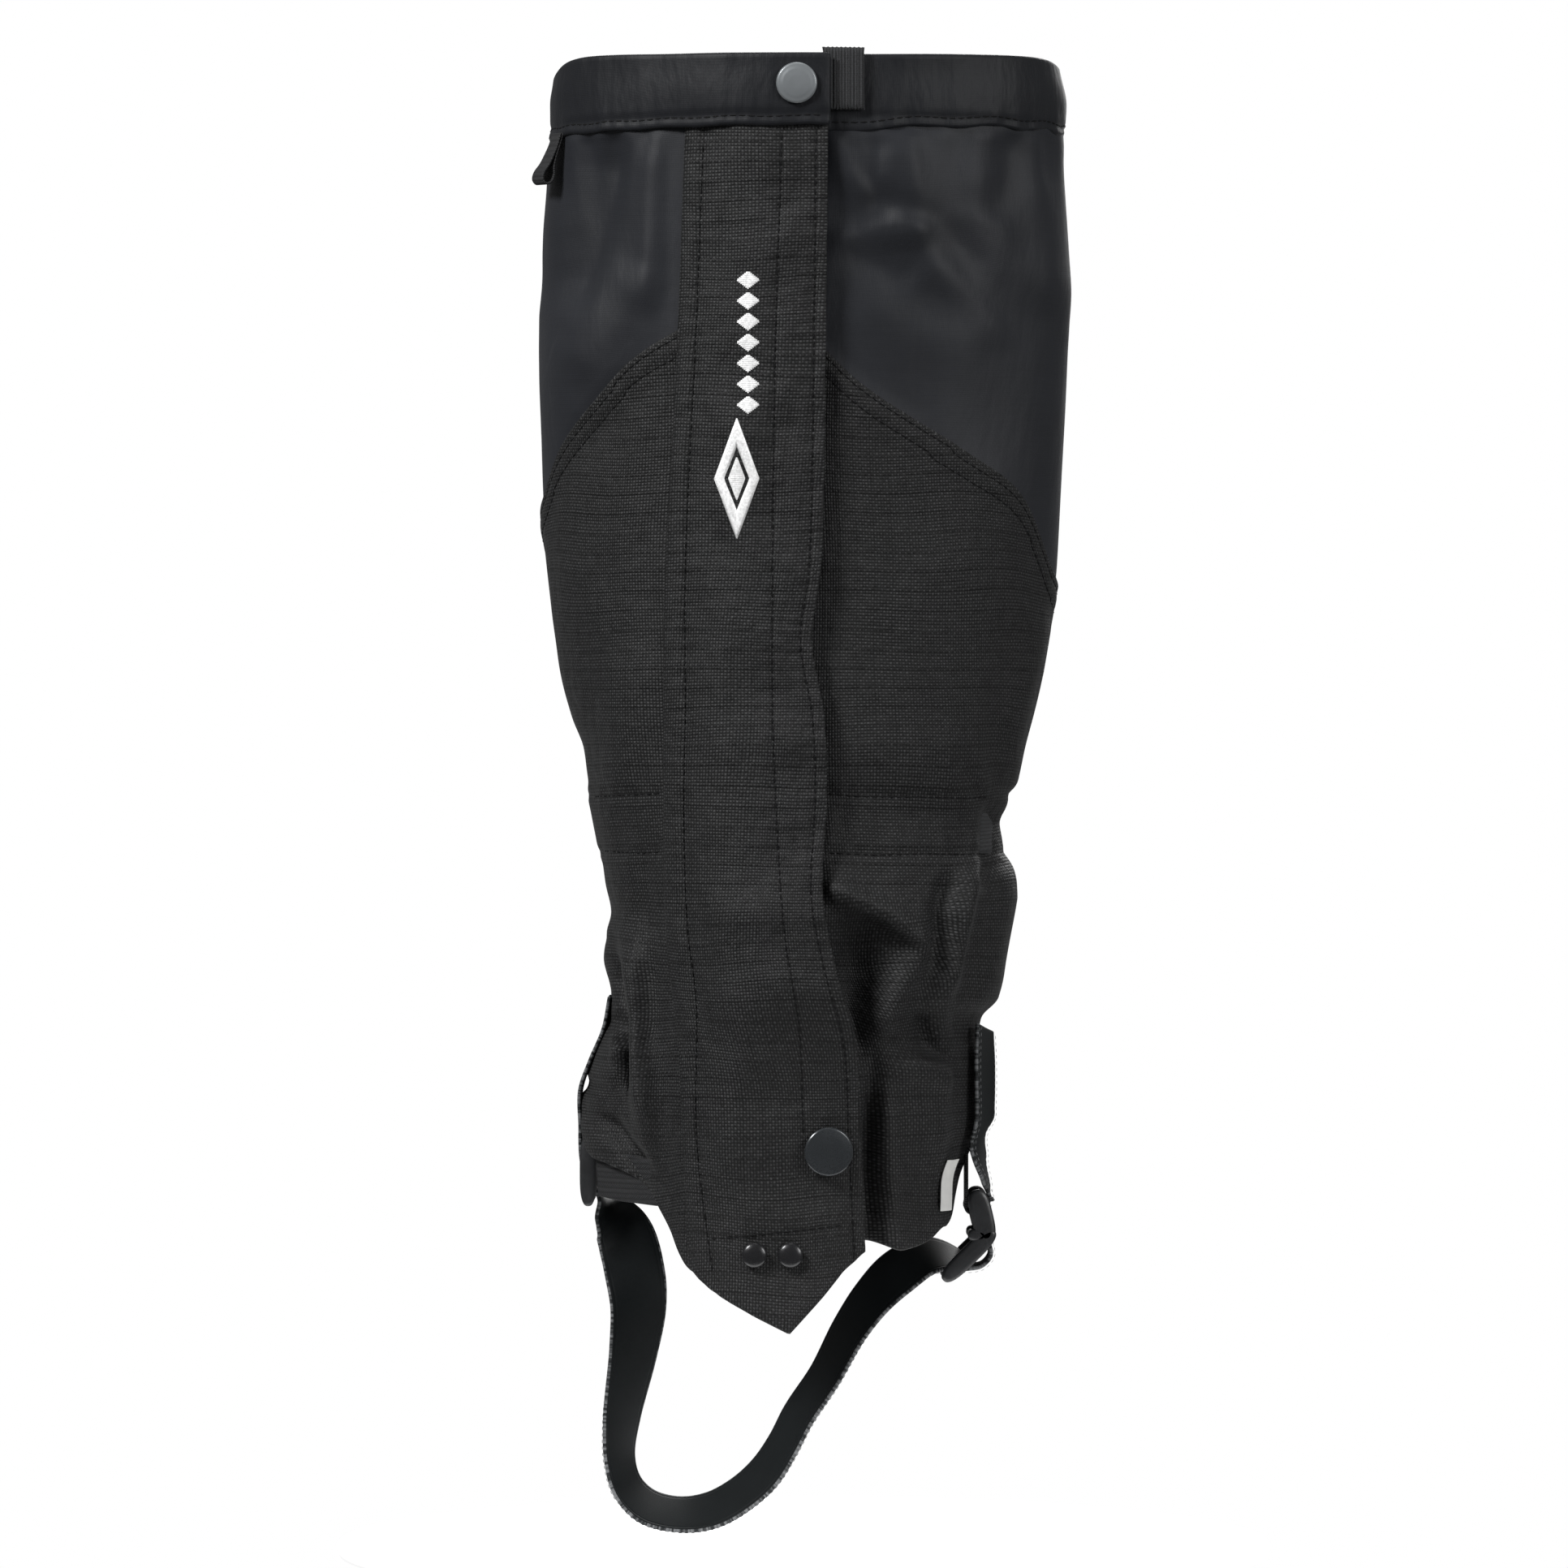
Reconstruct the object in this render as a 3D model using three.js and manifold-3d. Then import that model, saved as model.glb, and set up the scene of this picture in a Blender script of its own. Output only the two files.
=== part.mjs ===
// A hiking gaiter: a cloth tube round the lower leg that opens down the front under a flap,
// with press studs, a lace hook and a strap that runs under the boot between two ladder-lock buckles.
// Millimetres. +Z runs up the leg, -Y faces forward, +X is to the right of someone who looks at its front.
// The origin is on the leg's axis, at the middle of the ankle elastic.
import * as THREE from 'three';
import { mergeVertices } from 'three/addons/utils/BufferGeometryUtils.js';
import Module from 'manifold-3d';

const wasm = await Module();
wasm.setup();

// ---------------------------------------------------------------- driving dimensions
const topRim = 246;            // height of the top rim
const calfHeight = 160;        // height of the widest place
const topHemHeight = 23;       // height of the top hem
const rimWidth = 159.5;        // widths across the tube, from the rim down
const calfWidth = 169;
const shinWidth = 163.5;
const taperWidth = 146;
const ankleWidth = 132;
const instepWidth = 127.5;
const heelWidth = 125.5;
const lowerHemWidth = 127;
const hingeX = -36;            // the flap's sewn line
const hingeDepth = 46;         // how far in front of the leg's axis that line is, all the way up

const gap = 0.3;               // air between pieces that lie on each other
const layerGap = 0.5;          // air between wide curved layers of the flap
const liningGap = 0.6;         // air between the wall and what lies inside it
const edgeGap = 0.9;           // air between the placket and the right panels beside it
const cloth = 1.4;             // a panel's thickness
const hemThickness = 2;        // the top hem, folded double
const flapThickness = 1.2;
const liningThickness = 0.8;
const tapeThickness = 1;       // hook tape and loop tape
const wallTurn = 0.8;          // cosine of the wall's steepest turn under the flap's sewn edge
const hingeRise = cloth / wallTurn + gap; // how far the flap lies off the leg line where it is sewn
const rampEnd = -20;           // the flap has risen over the tapes at this distance across
const seamStripWidth = 7.5;    // the flap's sewn edge, left of its hinge
const placketLeft = -31;       // the left edge of the strip behind the flap
const panelEdgeLeft = -33;     // the left panels' front edge
const placketBottom = -130;
const tapeWidth = 12;
const tapeInset = 0.5;         // the tapes' right edge, in from the placket's
const tapeBottom = -90;
const liningLeft = -26;
const liningBottom = -126;
const liningInset = 1.5;
const flapCornerLeft = -144.5; // heights of the flap's bottom corners and its point
const flapTip = -164;
const flapCornerRight = -138;
const flapTipShare = 4 / 7;    // how far across the flap its point is

const ankleBand = 18;          // height of the ankle elastic
const elasticThickness = 1.2;
const channelMargin = 1.5;     // the channel lining reaches past the elastic
const topElasticHeight = 17;
const seamTapeWidth = 14;
const seamTapeThickness = 0.8;
const seamTapeBottom = -104;

const strapWidth = 18.5;
const strapThickness = 1.2;
const barPitch = 9;            // between a buckle's bars
const barRadius = 1.1;
const railThickness = 2.6;
const railWidth = 3;
const railEnd = 2.4;           // a buckle's rails reach past its end bars
const buckleSlack = 1;         // beside the strap, inside a buckle
const webbingWidth = 18;
const webbingThickness = 1.1;
const barPlay = 0.4;           // round a bar inside its webbing loop
const barTravel = 1.9;         // room for the top bar to tilt inwards
const leftBuckle = { x: -69.4, z: -112, lean: 0, side: -1, top: -92 };
const rightBuckle = { x: 54.5, z: -133, lean: 12, side: 1, top: -94 };

const topSnap = { x: -2, z: topRim - topHemHeight / 2, radius: 6.5 };
const lowSnap = { x: 6.5, z: -103, radius: 7.8 };
const studHead = 2.6;
const studFlange = 4.2;
const capSeat = 0.7;           // a flat cap over the curved flap
const studSeat = 0.5;          // a flat stud over the curved placket
const socketSeat = 0.4;        // a flat socket behind the curved flap
const socketClearance = 0.7;
const socketWall = 1.7;
const rivetHole = 1.8;
const rivetShank = 1.5;
const rivetHead = 4;
const rivetSpacing = 11.4;
const hookX = -9.9;
const hookZ = -136.4;
const hookWidth = 18;
const hookThickness = 1;
const hookSeat = 0.9;          // the flat hook plate behind the curved flap
const hookRadius = 3;          // inside its bend

const turn = Math.PI / 180;

// The tube by height: [height, width, shift of its middle to the right, depth behind the leg's axis]
const outline = [
  [-165, lowerHemWidth - 15, -4, 46],
  [-105, lowerHemWidth, -6.5, 52],
  [-74, heelWidth, -2.2, 50],
  [-40, instepWidth, 0.7, 46],
  [0, ankleWidth, -1, 42],
  [30, taperWidth, 0, 47],
  [82, shinWidth, -0.5, 56],
  [calfHeight, calfWidth, 0, 60],
  [topRim, rimWidth, 1.2, 56],
];

// The flap's right edge: [height, distance across]
const flapEdge = [
  [-135, 19.4], [-100, 17.7], [-69, 15.9], [-46, 9.9], [-23, 5.7], [9, 7], [35, 6],
  [58, 2.2], [82, 5.2], [147, 6.5], [topRim, 7.5],
];

// The right edge of the strip behind the flap: [height, distance across]
const placketEdge = [[-135, 15.2], [-69, 12], [-30, 1.5], [topRim, 1.5]];

// Edges round the tube, from a panel's front edge (0) to the back seam (1): [share, height]
const seamLeft = [[0, 158], [0.1, 146], [0.18, 132], [0.27, 118], [0.36, 104], [0.62, 88], [1, 80]];
const seamRight = [
  [0, 150], [0.06, 135], [0.13, 123.5], [0.21, 112.5], [0.3, 104], [0.42, 78], [0.66, 74], [1, 80],
];
const hemLeft = [
  [0, -141], [0.06, -135], [0.15, -113], [0.22, -106], [0.31, -94], [0.42, -92], [0.54, -94], [0.72, -108], [1, -112],
];
const hemRight = [
  [0, -131], [0.11, -134.5], [0.18, -132], [0.23, -127], [0.4, -112], [0.55, -111], [1, -112],
];

// ---------------------------------------------------------------- shape of the leg
/** The value at x of a smooth curve through [x, y] pairs in rising order, level past both ends. */
function smooth(pairs, x, column = 1) {
  const last = pairs.length - 1;
  if (x <= pairs[0][0]) return pairs[0][column];
  if (x >= pairs[last][0]) return pairs[last][column];
  const i = pairs.findIndex((pair) => pair[0] > x) - 1;
  const slope = (k) => {
    const before = pairs[Math.max(k - 1, 0)];
    const after = pairs[Math.min(k + 1, last)];
    return (after[column] - before[column]) / (after[0] - before[0]);
  };
  const span = pairs[i + 1][0] - pairs[i][0];
  const t = (x - pairs[i][0]) / span;
  return pairs[i][column] * (2 * t ** 3 - 3 * t ** 2 + 1) + slope(i) * span * (t ** 3 - 2 * t ** 2 + t)
    + pairs[i + 1][column] * (3 * t ** 2 - 2 * t ** 3) + slope(i + 1) * span * (t ** 3 - t ** 2);
}

const mix = THREE.MathUtils.lerp;

/** The oval section at a height. Its front keeps the flap's sewn line straight and upright. */
function section(z) {
  const middle = smooth(outline, z, 2);
  const half = smooth(outline, z, 1) / 2;
  const front = hingeDepth / Math.sqrt(1 - ((hingeX - middle) / half) ** 2);
  return { middle, half, front, back: smooth(outline, z, 3) };
}

/** A point off the wall, by its angle from the front, its height and its distance outwards. */
function onWall(angle, z, offset) {
  const { middle, half, front, back } = section(z);
  const across = Math.sin(angle);
  const along = Math.cos(angle);
  const depth = along > 0 ? front : back;
  const normal = new THREE.Vector2(depth * across, -half * along).normalize();
  return new THREE.Vector3(middle + half * across + normal.x * offset, -depth * along + normal.y * offset, z);
}

/** A point in front of the wall, by its distance across, its height and its distance forwards. */
function onFront(x, z, offset) {
  const { middle, half, front } = section(z);
  return new THREE.Vector3(x, -front * Math.sqrt(1 - ((x - middle) / half) ** 2) - offset, z);
}

/** The wall's angle at a distance across its front. */
function angleAt(x, z) {
  const { middle, half } = section(z);
  return Math.asin((x - middle) / half);
}

/** A frame on the front at x and z, with its -Y square to the surface, at a distance off the wall. */
function seat(x, z, offset = 0) {
  const step = 4;
  const across = onFront(x + step, z, 0).sub(onFront(x - step, z, 0));
  const upwards = onFront(x, z + step, 0).sub(onFront(x, z - step, 0));
  const frame = new THREE.Group();
  frame.position.copy(onFront(x, z, offset));
  frame.quaternion.setFromUnitVectors(new THREE.Vector3(0, -1, 0), across.cross(upwards).normalize());
  frame.updateMatrixWorld();
  return frame;
}

const flapRight = (z) => smooth(flapEdge, z);
const flapNear = (x) => {
  const high = cloth + 2 * tapeThickness + liningThickness + 3 * gap + layerGap;
  return mix(hingeRise, high, THREE.MathUtils.clamp((x - hingeX) / (rampEnd - hingeX), 0, 1));
};
const hemLine = topRim - topHemHeight;

// ---------------------------------------------------------------- building solids
/** A geometry from corners and triangles, turned to face outwards. */
function facingOut(corners, faces) {
  let volume = 0;
  for (let i = 0; i < faces.length; i += 3) {
    const [a, b, c] = [corners[faces[i]], corners[faces[i + 1]], corners[faces[i + 2]]];
    volume += a.dot(b.clone().cross(c));
  }
  const geometry = new THREE.BufferGeometry();
  geometry.setAttribute('position', new THREE.Float32BufferAttribute(corners.flatMap((p) => p.toArray()), 3));
  geometry.setIndex(volume > 0 ? faces : faces.slice().reverse());
  return geometry;
}

/** A closed sheet: place(u, v, side) gives its corners, with side 0 behind and 1 in front. */
function closedSheet(across, up, place) {
  const corners = [];
  for (const side of [0, 1]) {
    for (let i = 0; i <= across; i += 1) {
      for (let j = 0; j <= up; j += 1) corners.push(place(i / across, j / up, side));
    }
  }
  const at = (side, i, j) => (side * (across + 1) + i) * (up + 1) + j;
  const faces = [];
  const quad = (a, b, c, d) => faces.push(a, b, c, a, c, d);
  for (let i = 0; i < across; i += 1) {
    for (let j = 0; j < up; j += 1) {
      quad(at(1, i, j), at(1, i + 1, j), at(1, i + 1, j + 1), at(1, i, j + 1));
      quad(at(0, i, j), at(0, i, j + 1), at(0, i + 1, j + 1), at(0, i + 1, j));
    }
    quad(at(0, i, 0), at(0, i + 1, 0), at(1, i + 1, 0), at(1, i, 0));
    quad(at(0, i, up), at(1, i, up), at(1, i + 1, up), at(0, i + 1, up));
  }
  for (let j = 0; j < up; j += 1) {
    quad(at(0, 0, j), at(1, 0, j), at(1, 0, j + 1), at(0, 0, j + 1));
    quad(at(0, across, j), at(0, across, j + 1), at(1, across, j + 1), at(1, across, j));
  }
  return facingOut(corners, faces);
}

/** A sheet on the wall. from and to give its end angles by height, low and high its edges by share. */
function wallSheet({ from, to, low, high, near, far, across, up }) {
  return closedSheet(across, up, (u, v, side) => {
    const z = mix(low(u), high(u), v);
    return onWall(mix(from(z), to(z), u), z, side ? far : near);
  });
}

/** A sheet on the front. left and right give its sides by height, near its distance off by place across. */
function frontSheet({ left, right, low, high, near, thick, across, up }) {
  return closedSheet(across, up, (u, v, side) => {
    const z = mix(low(u), high(u), v);
    const x = mix(left(z), right(z), u);
    return onFront(x, z, near(x) + side * thick);
  });
}

/** A solid of revolution about Y from [radius, distance out along -Y] pairs, closed on the axis or on itself. */
function turned(profile, sides = 16) {
  const rising = profile.map(([radius, out]) => new THREE.Vector2(radius, -out));
  const raw = new THREE.LatheGeometry(rising, sides);
  raw.deleteAttribute('normal');
  raw.deleteAttribute('uv');
  const welded = mergeVertices(raw, 1e-4);
  const place = welded.attributes.position;
  const corners = Array.from({ length: place.count }, (_, i) => new THREE.Vector3().fromBufferAttribute(place, i));
  const index = Array.from(welded.index.array);
  const faces = [];
  for (let i = 0; i < index.length; i += 3) {
    const [a, b, c] = index.slice(i, i + 3);
    if (a !== b && b !== c && c !== a) faces.push(a, b, c);
  }
  return facingOut(corners, faces);
}

/** A flat outline in X and Z, pushed through from -width/2 to +width/2 along Y. */
function pushed(shape, width) {
  const geometry = new THREE.ExtrudeGeometry(shape, { depth: width, bevelEnabled: false, curveSegments: 6 });
  return geometry.rotateX(Math.PI / 2).translate(0, width / 2, 0);
}

function toSolid(geometry) {
  const plain = new THREE.BufferGeometry();
  plain.setAttribute('position', geometry.attributes.position.clone());
  if (geometry.index) plain.setIndex(geometry.index.clone());
  const welded = mergeVertices(plain, 1e-4);
  return new wasm.Manifold(new wasm.Mesh({
    numProp: 3,
    vertProperties: new Float32Array(welded.attributes.position.array),
    triVerts: new Uint32Array(welded.index.array),
  }));
}

function toGeometry(solid) {
  const mesh = solid.getMesh();
  const geometry = new THREE.BufferGeometry();
  geometry.setAttribute('position', new THREE.BufferAttribute(mesh.vertProperties, 3));
  geometry.setIndex(new THREE.BufferAttribute(mesh.triVerts, 1));
  return geometry;
}

const joined = (first, ...rest) => toGeometry(rest.reduce((sum, next) => sum.add(toSolid(next)), toSolid(first)));
const cutBy = (first, ...rest) => toGeometry(rest.reduce((sum, next) => sum.subtract(toSolid(next)), toSolid(first)));

// ---------------------------------------------------------------- materials and placing
const finishes = {
  shellNylon: { color: 0x2e3033, roughness: 0.5, metalness: 0 },
  ripstop: { color: 0x1d1d1f, roughness: 0.75, metalness: 0 },
  elastic: { color: 0x232427, roughness: 0.85, metalness: 0 },
  tape: { color: 0x1a1a1c, roughness: 0.95, metalness: 0 },
  lining: { color: 0x26272a, roughness: 0.7, metalness: 0 },
  snapMetal: { color: 0x474c50, roughness: 0.28, metalness: 0.7 },
  darkMetal: { color: 0x1b1c1e, roughness: 0.3, metalness: 0.7 },
  strap: { color: 0x16191a, roughness: 0.45, metalness: 0 },
  webbing: { color: 0x1e1f21, roughness: 0.8, metalness: 0 },
  buckle: { color: 0x202326, roughness: 0.4, metalness: 0 },
  label: { color: 0xd9d9d6, roughness: 0.8, metalness: 0 },
};

const gaiter = new THREE.Group();

function add(name, finish, geometry, parent = gaiter) {
  const mesh = new THREE.Mesh(geometry, new THREE.MeshStandardMaterial(finishes[finish]));
  mesh.name = name;
  parent.add(mesh);
  return mesh;
}

// ---------------------------------------------------------------- panels and hems
const backSeam = (side) => () => side * (Math.PI - gap / 2 / section(0).back);
const leftEdge = (z) => angleAt(panelEdgeLeft, z);
const placketRight = (z) => smooth(placketEdge, z);
const rightEdge = (z) => angleAt(placketRight(z) + edgeGap, z);

function addPanels() {
  const sides = [
    { name: 'left', from: leftEdge, to: backSeam(-1), seam: seamLeft, hem: hemLeft },
    { name: 'right', from: rightEdge, to: backSeam(1), seam: seamRight, hem: hemRight },
  ];
  for (const { name, from, to, seam, hem } of sides) {
    add(`upper_panel_${name}`, 'shellNylon', wallSheet({
      from, to, near: 0, far: cloth, across: 20, up: 5,
      low: (u) => smooth(seam, u) + gap, high: () => hemLine,
    }));
    add(`lower_panel_${name}`, 'ripstop', wallSheet({
      from, to, near: 0, far: cloth, across: 20, up: 12,
      low: (u) => smooth(hem, u), high: (u) => smooth(seam, u),
    }));
  }
}

function addTopHem() {
  const band = { low: () => hemLine + gap, high: () => topRim, near: 0, far: hemThickness, up: 1 };
  add('top_hem_left', 'shellNylon', wallSheet({
    ...band, from: (z) => angleAt(hingeX - gap, z), to: backSeam(-1), across: 16,
  }));
  const right = wallSheet({ ...band, from: (z) => angleAt(placketLeft, z), to: backSeam(1), across: 20 });
  add('top_hem_right', 'shellNylon', cutBy(right, hole(topSnap, studShank + gap)));
}

function addPlacket() {
  const placket = frontSheet({
    left: () => placketLeft, right: placketRight, low: () => placketBottom, high: () => hemLine,
    near: () => 0, thick: cloth, across: 4, up: 20,
  });
  add('placket', 'ripstop', cutBy(placket, hole(lowSnap, studShank + gap)));
  add('loop_tape', 'tape', frontSheet({
    left: (z) => placketRight(z) - tapeInset - tapeWidth, right: (z) => placketRight(z) - tapeInset,
    low: () => tapeBottom, high: () => hemLine - gap,
    near: () => cloth + gap, thick: tapeThickness, across: 2, up: 18,
  }));
}

// ---------------------------------------------------------------- flap
const studShank = 1.5;

/** A cutter through every layer at a fastener. */
function hole({ x, z }, radius) {
  const reach = 14;
  const cutter = turned([[0, -reach], [radius, -reach], [radius, reach], [0, reach]]);
  return cutter.applyMatrix4(seat(x, z).matrixWorld);
}

function flapLow(u) {
  if (u < flapTipShare) return mix(flapCornerLeft, flapTip, u / flapTipShare);
  return mix(flapTip, flapCornerRight, (u - flapTipShare) / (1 - flapTipShare));
}

function addFlap() {
  const flapLeft = () => hingeX + gap / 2;
  const rivets = [-1, 1].map((side) => hookHole(side, rivetHole));
  const outer = frontSheet({
    left: flapLeft, right: flapRight, low: flapLow, high: () => hemLine,
    near: flapNear, thick: flapThickness, across: 7, up: 24,
  });
  add('front_flap', 'ripstop', cutBy(outer, hole(lowSnap, studShank + gap), ...rivets));
  const lining = frontSheet({
    left: () => liningLeft, right: (z) => flapRight(z) - liningInset,
    low: () => liningBottom, high: () => hemLine - gap,
    near: (x) => flapNear(x) - layerGap - liningThickness, thick: liningThickness, across: 5, up: 18,
  });
  add('flap_lining', 'lining', cutBy(lining, hole(lowSnap, studShank + gap)));
  const hem = frontSheet({
    left: flapLeft, right: flapRight, low: () => hemLine + gap, high: () => topRim,
    near: flapNear, thick: hemThickness, across: 7, up: 1,
  });
  add('top_hem_front', 'shellNylon', cutBy(hem, hole(topSnap, studShank + gap)));
  add('hook_tape', 'tape', frontSheet({
    left: (z) => placketRight(z) - tapeInset - tapeWidth, right: (z) => placketRight(z) - tapeInset,
    low: () => tapeBottom, high: () => hemLine - gap,
    near: () => cloth + 2 * gap + tapeThickness, thick: tapeThickness, across: 2, up: 18,
  }));
  add('flap_seam_strip', 'ripstop', frontSheet({
    left: () => hingeX - seamStripWidth, right: () => hingeX - gap / 2,
    low: () => flapCornerLeft + cloth * 3, high: () => hemLine,
    near: () => hingeRise, thick: flapThickness, across: 2, up: 24,
  }));
}

/** A press stud: cap and socket on the flap, stud and post on the strip behind it. */
function addSnap(name, { x, z, radius }, base, under, over) {
  const group = seat(x, z);
  gaiter.add(group);
  const rise = 1.9;
  const capBase = over + capSeat;
  add(`${name}_cap`, 'snapMetal', turned([
    [0, under - gap], [studShank, under - gap], [studShank, capBase], [radius - 0.5, capBase],
    [radius, capBase + 0.5], [radius - 0.3, capBase + 1.1], [radius * 0.75, capBase + 1.6], [0, capBase + rise],
  ]), group);
  const flangeTop = base + studSeat + 0.5;
  const bore = studHead + socketClearance;
  add(`${name}_socket`, 'snapMetal', turned([
    [bore, flangeTop + gap], [bore + socketWall, flangeTop + gap],
    [bore + socketWall, under - socketSeat], [bore, under - socketSeat], [bore, flangeTop + gap],
  ]), group);
  const headTop = under - gap - 0.4;
  add(`${name}_stud`, 'snapMetal', turned([
    [0, -gap], [studShank, -gap], [studShank, base + studSeat], [studFlange, base + studSeat], [studFlange, flangeTop],
    [studHead - 0.6, flangeTop], [studHead, flangeTop + 0.7], [studHead - 0.3, headTop], [0, headTop],
  ]), group);
  add(`${name}_post`, 'snapMetal', turned([
    [0, -1.3], [studFlange, -1.3], [studFlange + 0.4, -1], [studFlange + 0.4, -2 * gap], [0, -2 * gap],
  ]), group);
}

// ---------------------------------------------------------------- lace hook
const hookFrame = () => seat(hookX, hookZ, flapNear(hookX));

function hookHole(side, radius) {
  const cutter = turned([[0, -5], [radius, -5], [radius, 5], [0, 5]]);
  return cutter.translate(side * rivetSpacing / 2, 0, 0).applyMatrix4(hookFrame().matrixWorld);
}

/** The hook's outline in Y and Z: a plate that bends back and up behind the lace. */
function hookOutline() {
  const top = 5;
  const bend = -9;
  const tip = -4.5;
  const front = hookSeat;
  const back = front + hookThickness;
  const middle = back + hookRadius;
  const outer = hookRadius + hookThickness;
  const outlineShape = new THREE.Shape();
  outlineShape.moveTo(front, top);
  outlineShape.lineTo(front, bend);
  outlineShape.absarc(middle, bend, outer, Math.PI, 2 * Math.PI, false);
  outlineShape.lineTo(middle + outer, tip);
  outlineShape.lineTo(middle + hookRadius, tip);
  outlineShape.lineTo(middle + hookRadius, bend);
  outlineShape.absarc(middle, bend, hookRadius, 0, Math.PI, true);
  outlineShape.lineTo(back, top);
  return outlineShape;
}

function addLaceHook() {
  const frame = hookFrame();
  gaiter.add(frame);
  const bent = new THREE.ExtrudeGeometry(hookOutline(), { depth: hookWidth, bevelEnabled: false, curveSegments: 8 });
  // the outline's first axis becomes Y, its second Z and the push X
  bent.applyMatrix4(new THREE.Matrix4().makeBasis(
    new THREE.Vector3(0, 1, 0), new THREE.Vector3(0, 0, 1), new THREE.Vector3(1, 0, 0),
  )).translate(-hookWidth / 2, 0, 0);
  const cutters = [-1, 1].map((side) => turned([[0, -5], [rivetHole, -5], [rivetHole, 5], [0, 5]])
    .translate(side * rivetSpacing / 2, 0, 0));
  add('lace_hook', 'darkMetal', cutBy(bent, ...cutters), frame);
  const headBase = flapThickness + 0.25;
  const tail = -(hookSeat + hookThickness + gap);
  for (const [name, side] of [['left', -1], ['right', 1]]) {
    const rivet = add(`hook_rivet_${name}`, 'darkMetal', turned([
      [0, tail - 0.7], [2.3, tail - 0.7], [2.6, tail - 0.3], [2.6, tail], [rivetShank, tail],
      [rivetShank, headBase], [rivetHead - 0.3, headBase], [rivetHead, headBase + 0.5],
      [rivetHead * 0.8, headBase + 1.1], [0, headBase + 1.5],
    ]), frame);
    rivet.position.x = side * rivetSpacing / 2;
  }
}

// ---------------------------------------------------------------- elastics, tapes and small parts
function addLinings() {
  const channelEdge = ankleBand / 2 + channelMargin;
  const inner = [-liningGap, -liningGap - elasticThickness];
  const round = { from: (z) => angleAt(panelEdgeLeft - 4, z), to: (z) => angleAt(placketRight(z) + 4, z) - 2 * Math.PI };
  add('ankle_elastic', 'elastic', wallSheet({
    ...round, low: () => -ankleBand / 2, high: () => ankleBand / 2, near: inner[1], far: inner[0], across: 30, up: 2,
  }));
  add('ankle_channel_lining', 'lining', wallSheet({
    ...round, low: () => -channelEdge, high: () => channelEdge,
    near: inner[1] - liningGap - liningThickness, far: inner[1] - liningGap, across: 30, up: 2,
  }));
  const hemMiddle = topRim - topHemHeight / 2;
  add('top_elastic', 'elastic', wallSheet({
    ...round, low: () => hemMiddle - topElasticHeight / 2, high: () => hemMiddle + topElasticHeight / 2,
    near: inner[1], far: inner[0], across: 30, up: 1,
  }));
  const tapeAngle = (z) => seamTapeWidth / 2 / section(z).half;
  const seamTape = {
    from: (z) => Math.PI - tapeAngle(z), to: (z) => Math.PI + tapeAngle(z),
    near: -liningGap - seamTapeThickness, far: -liningGap, across: 2,
  };
  add('back_seam_tape_upper', 'tape', wallSheet({
    ...seamTape, low: () => channelEdge + gap, high: () => hemMiddle - topElasticHeight / 2 - gap, up: 10,
  }));
  add('back_seam_tape_lower', 'tape', wallSheet({
    ...seamTape, low: () => seamTapeBottom, high: () => -channelEdge - gap, up: 5,
  }));
}

function addTrim() {
  const tabTop = topRim + 2;
  const tabHeight = 19;
  add('top_elastic_tab', 'elastic', frontSheet({
    left: () => flapRight(topRim) - 4.5, right: () => flapRight(topRim) + 12,
    low: () => tabTop - tabHeight, high: () => tabTop,
    near: () => hemThickness + gap, thick: 1.8, across: 3, up: 1,
  }));
  const labelAngle = 58 * turn;
  add('care_label', 'label', wallSheet({
    from: () => labelAngle, to: () => labelAngle + 7 * turn, low: () => -124, high: () => -108,
    near: cloth + gap, far: cloth + 2 * gap + 0.2, across: 1, up: 2,
  }));
}

/** The side pull: a folded tape that hangs from the top hem's lower edge. */
const pullAngle = -74 * turn;
const pullTop = hemLine - 1.5;
function addSidePull() {
  const width = 8;
  const drop = 15;
  const shape = new THREE.Shape();
  const near = cloth + gap;
  shape.moveTo(near, 0);
  shape.lineTo(near + 1.4, 0);
  shape.lineTo(near + 3.6, -drop + 6);
  shape.absarc(near + 3.2, -drop + 2, 1.9, 0.4, -Math.PI * 0.9, true);
  shape.lineTo(near + 1.9, -drop + 6);
  const strip = new THREE.ExtrudeGeometry(shape, { depth: width, bevelEnabled: false, curveSegments: 5 });
  // the outline's first axis points away from the wall, its second up, and its depth lies along the wall
  strip.applyMatrix4(new THREE.Matrix4().makeBasis(
    new THREE.Vector3(0, -1, 0), new THREE.Vector3(0, 0, 1), new THREE.Vector3(-1, 0, 0),
  )).translate(width / 2, 0, 0);
  const pull = add('side_pull', 'webbing', strip);
  const foot = onWall(pullAngle, pullTop, 0);
  const upwards = foot.clone().sub(onWall(pullAngle, pullTop - drop, 0)).normalize();
  const along = upwards.clone().cross(onWall(pullAngle, pullTop, 1).sub(foot)).normalize();
  const out = along.clone().cross(upwards);
  pull.position.copy(foot);
  pull.setRotationFromMatrix(new THREE.Matrix4().makeBasis(along, out.negate(), upwards));
}

// ---------------------------------------------------------------- buckles, webbing and strap
/** A point in a buckle's own frame, u outwards and w up from its middle bar, in the tube's X and Z. */
function atBuckle({ x, z, lean, side }, u, w) {
  const angle = lean * turn;
  return [x + side * u * Math.cos(angle) + w * Math.sin(angle), z - side * u * Math.sin(angle) + w * Math.cos(angle)];
}

function buckleFrame(spot) {
  const frame = new THREE.Group();
  frame.position.set(spot.x, 0, spot.z);
  frame.rotation.y = spot.lean * turn;
  frame.updateMatrixWorld();
  return frame;
}

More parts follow.
